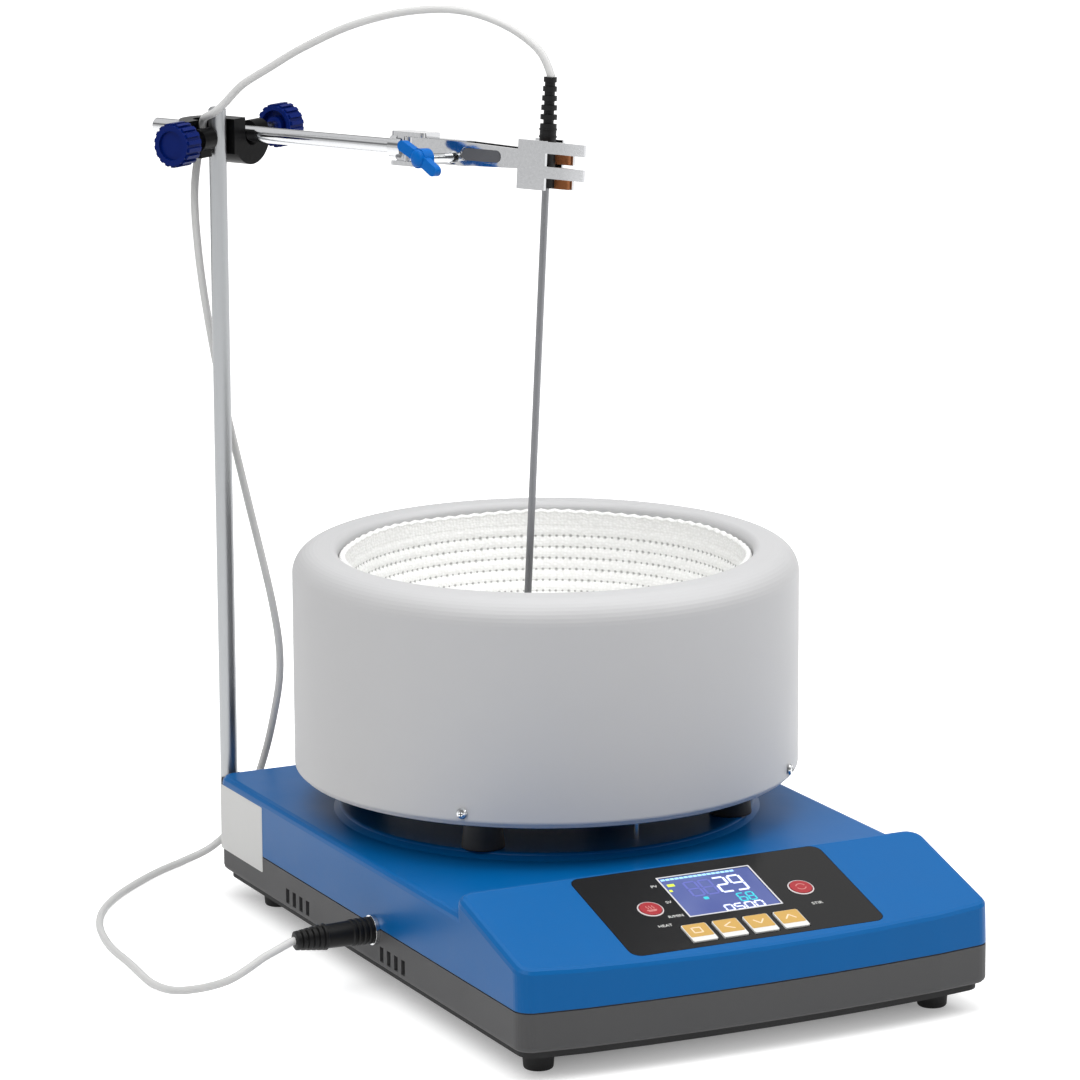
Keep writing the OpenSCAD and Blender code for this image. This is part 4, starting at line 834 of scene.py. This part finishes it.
def digit(bm, sign, corner, width, height, stroke):
    """Adds a seven-stroke digit on the display's glass from its lower left corner."""
    ends = {
        "a": ((0, 1), (1, 1)), "b": ((1, 1), (1, 0.5)), "c": ((1, 0.5), (1, 0)), "d": ((0, 0), (1, 0)),
        "e": ((0, 0), (0, 0.5)), "f": ((0, 0.5), (0, 1)), "g": ((0, 0.5), (1, 0.5)),
    }
    for key in SEGMENTS[sign]:
        a, b = (Vector((corner[0] + u * width, corner[1] + v * height)) for u, v in ends[key])
        inset = (b - a).normalized() * stroke * 0.35
        bar(bm, a + inset, b - inset, stroke, PRINT, FILM)


def label(name, words, place, height, material, body):
    """A printed word, centred on its place on the panel."""
    data = bpy.data.curves.new(name, "FONT")
    data.body = words
    data.size = height * 1.4
    data.align_x = "CENTER"
    data.align_y = "CENTER"
    data.extrude = 0.02 * MM
    text = bpy.data.objects.new(name + "_text", data)
    mesh = bpy.data.meshes.new_from_object(text)
    bpy.data.objects.remove(text)
    bpy.data.curves.remove(data)
    bm = bmesh.new()
    bm.from_mesh(mesh)
    bpy.data.meshes.remove(mesh)
    return piece(name, bm, body, material, PANEL @ Matrix.Translation(place), smooth=False)


class STIRRER_OT_panel(bpy.types.Operator):
    """Panel film, lit display, key faces and button faces"""

    bl_idname = "stirrer.panel"
    bl_label = "Control panel"

    def execute(self, context):
        colours = context.scene.stirrer_colours
        # Printed polyester film: smooth black with a soft gloss
        film = moulded(
            "Black polyester film", colours.panel, 0.14, 0.5, 0.004, 0.05, Specular_IOR_Level=0.2
        )
        # White print and coloured films are matt and even
        white = lit_print("White print", srgb("e9e9e6"), 0.0)
        dress("control_panel", film)
        dress("lcd_module", moulded("Display glass", colours.display, 0.12, 1.0, 0.005, 0.05))
        yellow = moulded("Yellow film", colours.key, 0.4, 0.5, 0.01, 0.04)
        red = moulded("Red film", colours.button, 0.38, 0.5, 0.01, 0.04)
        for node in ("key_set", "key_left", "key_down", "key_up"):
            dress(node, white)
        for node in ("heat_button", "stir_button"):
            dress(node, red)
        self.display()
        self.keys(yellow)
        self.buttons()
        for name, words, x, y in (
            ("label_pv", "PV", -32.5, 22.0), ("label_sv", "SV", -32.0, 5.6),
            ("label_speed", "R/MIN", -34.6, -8.2), ("label_heat", "HEAT", -44.6, -15.6),
            ("label_stir", "STIR", 46.4, -15.0),
        ):
            label(name, words, Vector((x, y, 0)) * MM, 2.4 * MM, white, "base")
        return {"FINISHED"}

    def display(self):
        """Backlit glass with its border, digits and marks."""
        place = on_panel("lcd_module")[0]
        width, length = DISPLAY_WIDTH, DISPLAY_LENGTH
        top = place.z + PRINT
        matrix = PANEL @ Matrix.Translation((place.x, place.y, top))
        material, tree, shader = blank(
            "Backlit display", Roughness=0.12, Emission_Strength=0.14, Specular_IOR_Level=0.3
        )
        spot = add(tree, "TexCoord").outputs["Object"]
        broad = add(tree, "TexNoise", {"Vector": spot, "Scale": across(30), "Detail": 1.0})
        deep, hazy = srgb("2c3c86"), srgb("6a76a8")
        tint = add(tree, "Mix", {0: broad.outputs[0], 6: deep, 7: hazy}, data_type="RGBA")
        tree.links.new(tint.outputs[2], shader.inputs["Base Color"])
        tree.links.new(tint.outputs[2], shader.inputs["Emission Color"])
        bm = bmesh.new()
        plate(bm, width - 1.0 * MM, length - 1.0 * MM, FILM)
        piece("display_glass", bm, "base", material, matrix, smooth=False)
        self.border(place)
        # Marks behind the glass, each giving off its own colour
        white = lit_print("White display light", srgb("dfe6ff"), 0.45)
        teal = lit_print("Teal display light", srgb("2fb7c4"), 0.5)
        pale = lit_print("Pale blue display light", srgb("9fd4ff"), 0.55)
        green = lit_print("Green display light", srgb("cfe23c"), 0.5)
        ghost = lit_print("Unlit display stroke", srgb("5a62ad"), 0.3)
        left, bottom = -width / 2, -length / 2

        def row(name, signs, u, v, step, wide, high, stroke, material):
            bm = bmesh.new()
            for i, sign in enumerate(signs):
                corner = (left + (u + i * step) * width, bottom + (1 - v) * length)
                digit(bm, sign, corner, wide * MM, high * MM, stroke * MM)
            piece(name, bm, "base", material, matrix, smooth=False)

        row("display_unlit", "88", 0.22, 0.53, 0.155, 6.6, 14.0, 1.3, ghost)
        row("display_value", "29", 0.535, 0.53, 0.165, 6.6, 14.4, 1.5, white)
        row("display_target", "68", 0.64, 0.8, 0.098, 3.9, 7.6, 1.0, teal)
        row("display_speed", "0500", 0.42, 0.98, 0.11, 4.4, 5.6, 1.1, white)
        bm = bmesh.new()
        for i in range(16):
            x = left + (0.05 + 0.05 * i) * width
            plate(bm, 2.3 * MM, 1.7 * MM, PRINT, at=(x, bottom + 0.945 * length, FILM))
        piece("display_bar", bm, "base", pale, matrix, smooth=False)
        bm = bmesh.new()
        plate(bm, 4.2 * MM, 2.4 * MM, PRINT, at=(left + 0.085 * width, bottom + 0.8 * length, FILM))
        plate(bm, 1.8 * MM, 2.0 * MM, PRINT, at=(left + 0.04 * width, bottom + 0.67 * length, FILM))
        piece("display_marks", bm, "base", green, matrix, smooth=False)
        bm = bmesh.new()
        spot_mark = (left + 0.32 * width, bottom + 0.39 * length, FILM)
        plate(bm, 3.0 * MM, 2.6 * MM, PRINT, 0.8 * MM, at=spot_mark)
        piece("display_set_mark", bm, "base", teal, matrix, smooth=False)

    def border(self, place):
        """White frame printed round the display."""
        frame_print = lit_print("Display border print", srgb("dcdce0"), 0.0)
        bm = bmesh.new()
        line, thick = 0.9 * MM, 0.12 * MM
        for side in (-1, 1):
            plate(bm, line, DISPLAY_LENGTH + line, thick, at=(side * DISPLAY_WIDTH / 2, 0, 0))
        for side in (-1, 1):
            plate(bm, DISPLAY_WIDTH - line, line, thick, at=(0, side * DISPLAY_LENGTH / 2, 0))
        matrix = PANEL @ Matrix.Translation((place.x, place.y, 0))
        piece("display_border", bm, "base", frame_print, matrix, smooth=False)

    def keys(self, yellow):
        """Yellow face and sign on each square key."""
        sign_print = lit_print("Key sign print", srgb("fbe3c4"), 0.0)
        signs = {
            "key_set": [
                ((-3, -2.4), (2, -2.4)), ((2, -2.4), (2, 2.4)),
                ((2, 2.4), (-3, 2.4)), ((-3, 2.4), (-3, -2.4)),
            ],
            "key_left": [((2.4, 3), (-2.6, 0)), ((-2.6, 0), (2.4, -3))],
            "key_down": [((-3, 1.6), (0, -2.2)), ((0, -2.2), (3, 1.6))],
            "key_up": [((-3, -1.8), (0, 2)), ((0, 2), (3, -1.8))],
        }
        shift = Vector((0, 1.8))
        for node, strokes in signs.items():
            place, size = on_panel(node)
            matrix = PANEL @ Matrix.Translation(place)
            bm = bmesh.new()
            plate(bm, size.x - 1.0 * MM, size.x - 2.6 * MM, FILM, 0.8 * MM, at=(0, shift.y * MM, 0))
            piece(node + "_face", bm, node, yellow, matrix, smooth=False)
            bm = bmesh.new()
            for stroke in strokes:
                start, end = ((Vector(point) + shift) * MM for point in stroke)
                bar(bm, start, end, 0.8 * MM, PRINT, FILM)
            piece(node + "_sign", bm, node, sign_print, matrix, smooth=False)

    def buttons(self):
        """Pale ring round each red button and the sign on it."""
        ring_print = lit_print("Silver ring print", srgb("d9cfd0"), 0.0)
        sign_print = lit_print("Button sign print", srgb("d9918d"), 0.0)
        for node in ("heat_button", "stir_button"):
            place, size = on_panel(node)
            matrix = PANEL @ Matrix.Translation((place.x, place.y, 0))
            bm = bmesh.new()
            inner, outer = size.x / 2 + 0.32 * MM, size.x / 2 + 1.0 * MM
            profile = ((inner, 0), (outer, 0), (outer, 0.3 * MM), (inner, 0.5 * MM))
            verts = [bm.verts.new((r, 0, z)) for r, z in profile]
            spin_round(bm, verts, (0, 0, 0), (0, 0, 1), 64, closed=True)
            piece(node + "_ring", bm, "base", ring_print, matrix)
            bm = bmesh.new()
            for stroke, points in self.heat_lines() if node == "heat_button" else self.stir_lines():
                for a, b in zip(points, points[1:]):
                    bar(bm, a * MM, b * MM, stroke * MM, PRINT)
            piece(node + "_sign", bm, node, sign_print, PANEL @ Matrix.Translation(place), smooth=False)

    def heat_lines(self):
        """Strokes of the heating sign in millimetres: three waves over two bars."""
        lines = []
        for x in (-1.7, 0.0, 1.7):
            wave = [Vector((x + 0.35 * math.sin(k * math.pi / 2), -0.6 + 0.75 * k)) for k in range(5)]
            lines.append((0.5, wave))
        for stroke, reach, y in ((0.8, 2.8, -1.8), (0.6, 2.2, -2.8)):
            lines.append((stroke, [Vector((-reach, y)), Vector((reach, y))]))
        return lines

    def stir_lines(self):
        """Strokes of the stirring sign in millimetres: two arcs round the middle."""
        lines = []
        for first in (20, 200):
            turns = [math.radians(first + 14 * k) for k in range(11)]
            lines.append((0.6, [Vector((math.cos(t), math.sin(t))) * 2.7 for t in turns]))
        return lines


class STIRRER_OT_stand(bpy.types.Operator):
    """Rod, boss head with its knobs, arm and clamp"""

    bl_idname = "stirrer.stand"
    bl_label = "Stand and clamp"

    def execute(self, context):
        colours = context.scene.stirrer_colours
        # Drawn stainless bar: fine lines along its length
        rod = drawn_metal("Drawn stainless steel", srgb("a6a8aa"), 0.36, 1.0, (1, 1, 0.02), 0.05)
        # Cast iron under thick black enamel: uneven and glossy
        enamel = moulded(
            "Black enamel on cast iron", srgb("060607"), 0.32, 3.0, 0.12, 0.1, Specular_IOR_Level=0.07
        )
        # Injected polyamide: deep blue with a soft sheen
        knob = moulded("Blue polyamide", colours.knob, 0.36, 1.0, 0.03, 0.06, Specular_IOR_Level=0.08)
        # Chrome mirrors what is round it, bright zinc a little softer
        chrome = drawn_metal("Chrome plated zinc", srgb("cfd0d2"), 0.1, 1.4, (1, 1, 1), 0.02)
        bright = drawn_metal("Bright zinc steel", srgb("d3d5d7"), 0.2, 0.4, (1, 1, 1), 0.01)
        # Lacquer is smooth and even, cork is speckled and dull
        wing = moulded(
            "Blue lacquered nut", colours.wing_nut, 0.34, 0.8, 0.03, 0.05, Specular_IOR_Level=0.12
        )
        cork = moulded("Pressed cork", srgb("9c5f33"), 0.85, 0.9, 0.3, 0.35)
        dress_all({
            "support_rod": rod, "boss_head": enamel, "rod_screw": bright, "rod_knob": knob,
            "arm_screw": bright, "arm_knob": knob, "clamp_arm": chrome, "clamp_yoke": chrome,
            "jaw_pins": bright, "wing_stud": bright, "near_jaw": chrome, "far_jaw": chrome,
            "near_cork": cork, "far_cork": cork, "near_wing_nut": wing, "far_wing_nut": wing,
        })
        self.paint_jaw_reflection()
        for node in ("near_wing_nut", "far_wing_nut"):
            self.wing_cap(node, wing)
        return {"FINISHED"}

    def wing_cap(self, node, finish):
        """Domed cap over the stud's end in a wing nut."""
        turn = JOINTS[node.replace("nut", "turn")]
        out = -Vector(turn["axis"]).normalized()
        hub = Vector(turn["pos_m"])
        end = max(v.co.dot(out) for v in NODES[node].data.vertices) - hub.dot(out)
        side = out.orthogonal().normalized()
        bm = bmesh.new()
        profile = [(4.9, 0.0), (4.9, 0.6), (4.3, 1.5), (3.0, 2.1), (0.0, 2.4)]
        inside = [(0.0, 1.8), (2.7, 1.6), (3.7, 1.1), (4.2, 0.4), (4.2, 0.0)]
        verts = [bm.verts.new(side * r * MM + out * z * MM) for r, z in profile + inside]
        spin_round(bm, verts, (0, 0, 0), out, 32, closed=True)
        sunk = 1.3 * MM
        place = Matrix.Translation(hub + out * (end - sunk))
        piece(node.replace("nut", "cap"), bm, node, finish, place)

    def paint_jaw_reflection(self):
        """Rough grey field in the near jaw's window: painted dark reflection of the chrome."""
        face, deep, along = -7.2 * MM, 0.8 * MM, 39 * MM
        # Dull grey with grains that catch the light, painted in for the chrome's dark reflection
        cast = moulded("Painted dark jaw reflection", srgb("55565a"), 0.6, 0.7, 0.2, 0.25, Metallic=0.4)
        bm = bmesh.new()
        plate(bm, 25.4 * MM, 6.8 * MM, 0.45 * MM, 3.2 * MM)
        place = Matrix.Translation((face + deep, along, 0))
        piece("near_jaw_painted_reflection", bm, "near_jaw", cast, clamp_frame() @ place @ SIDEWAYS, smooth=False)


class STIRRER_OT_probe(bpy.types.Operator):
    """Steel sheath, black boot and plug of the temperature probe"""

    bl_idname = "stirrer.probe"
    bl_label = "Probe"

    def execute(self, context):
        # Drawn tube shines along its length, PVC is black with a soft sheen
        sheath = drawn_metal("Drawn stainless tube", srgb("86878a"), 0.34, 0.4, (1, 1, 0.05), 0.005)
        pvc = moulded("Moulded black PVC", srgb("080809"), 0.48, 0.7, 0.04, 0.1, Specular_IOR_Level=0.25)
        dress_all({"probe_sheath": sheath, "probe_boot": pvc, "probe_plug": pvc})
        return {"FINISHED"}


OPERATORS = (
    STIRRER_OT_stage, STIRRER_OT_cord, STIRRER_OT_housing, STIRRER_OT_internals, STIRRER_OT_mantle,
    STIRRER_OT_panel, STIRRER_OT_stand, STIRRER_OT_probe,
)


class STIRRER_PT_panel(bpy.types.Panel):
    """Lists the stirrer's pieces"""

    bl_idname = "STIRRER_PT_panel"
    bl_label = "Stirrer"
    bl_space_type = "VIEW_3D"
    bl_region_type = "UI"
    bl_category = "Stirrer"

    def draw(self, context):
        for operator in OPERATORS:
            self.layout.operator(operator.bl_idname)


CLASSES = (StirrerColours, StirrerSizes, *OPERATORS, STIRRER_PT_panel)


def register():
    for cls in CLASSES:
        bpy.utils.register_class(cls)
    bpy.types.Scene.stirrer_colours = PointerProperty(type=StirrerColours)
    bpy.types.Scene.stirrer_sizes = PointerProperty(type=StirrerSizes)


def unregister():
    del bpy.types.Scene.stirrer_sizes
    del bpy.types.Scene.stirrer_colours
    for cls in reversed(CLASSES):
        bpy.utils.unregister_class(cls)


def main():
    """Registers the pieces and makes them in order."""
    register()
    for operator in OPERATORS:
        group, name = operator.bl_idname.split(".")
        getattr(getattr(bpy.ops, group), name)()


if __name__ == "__main__":
    main()
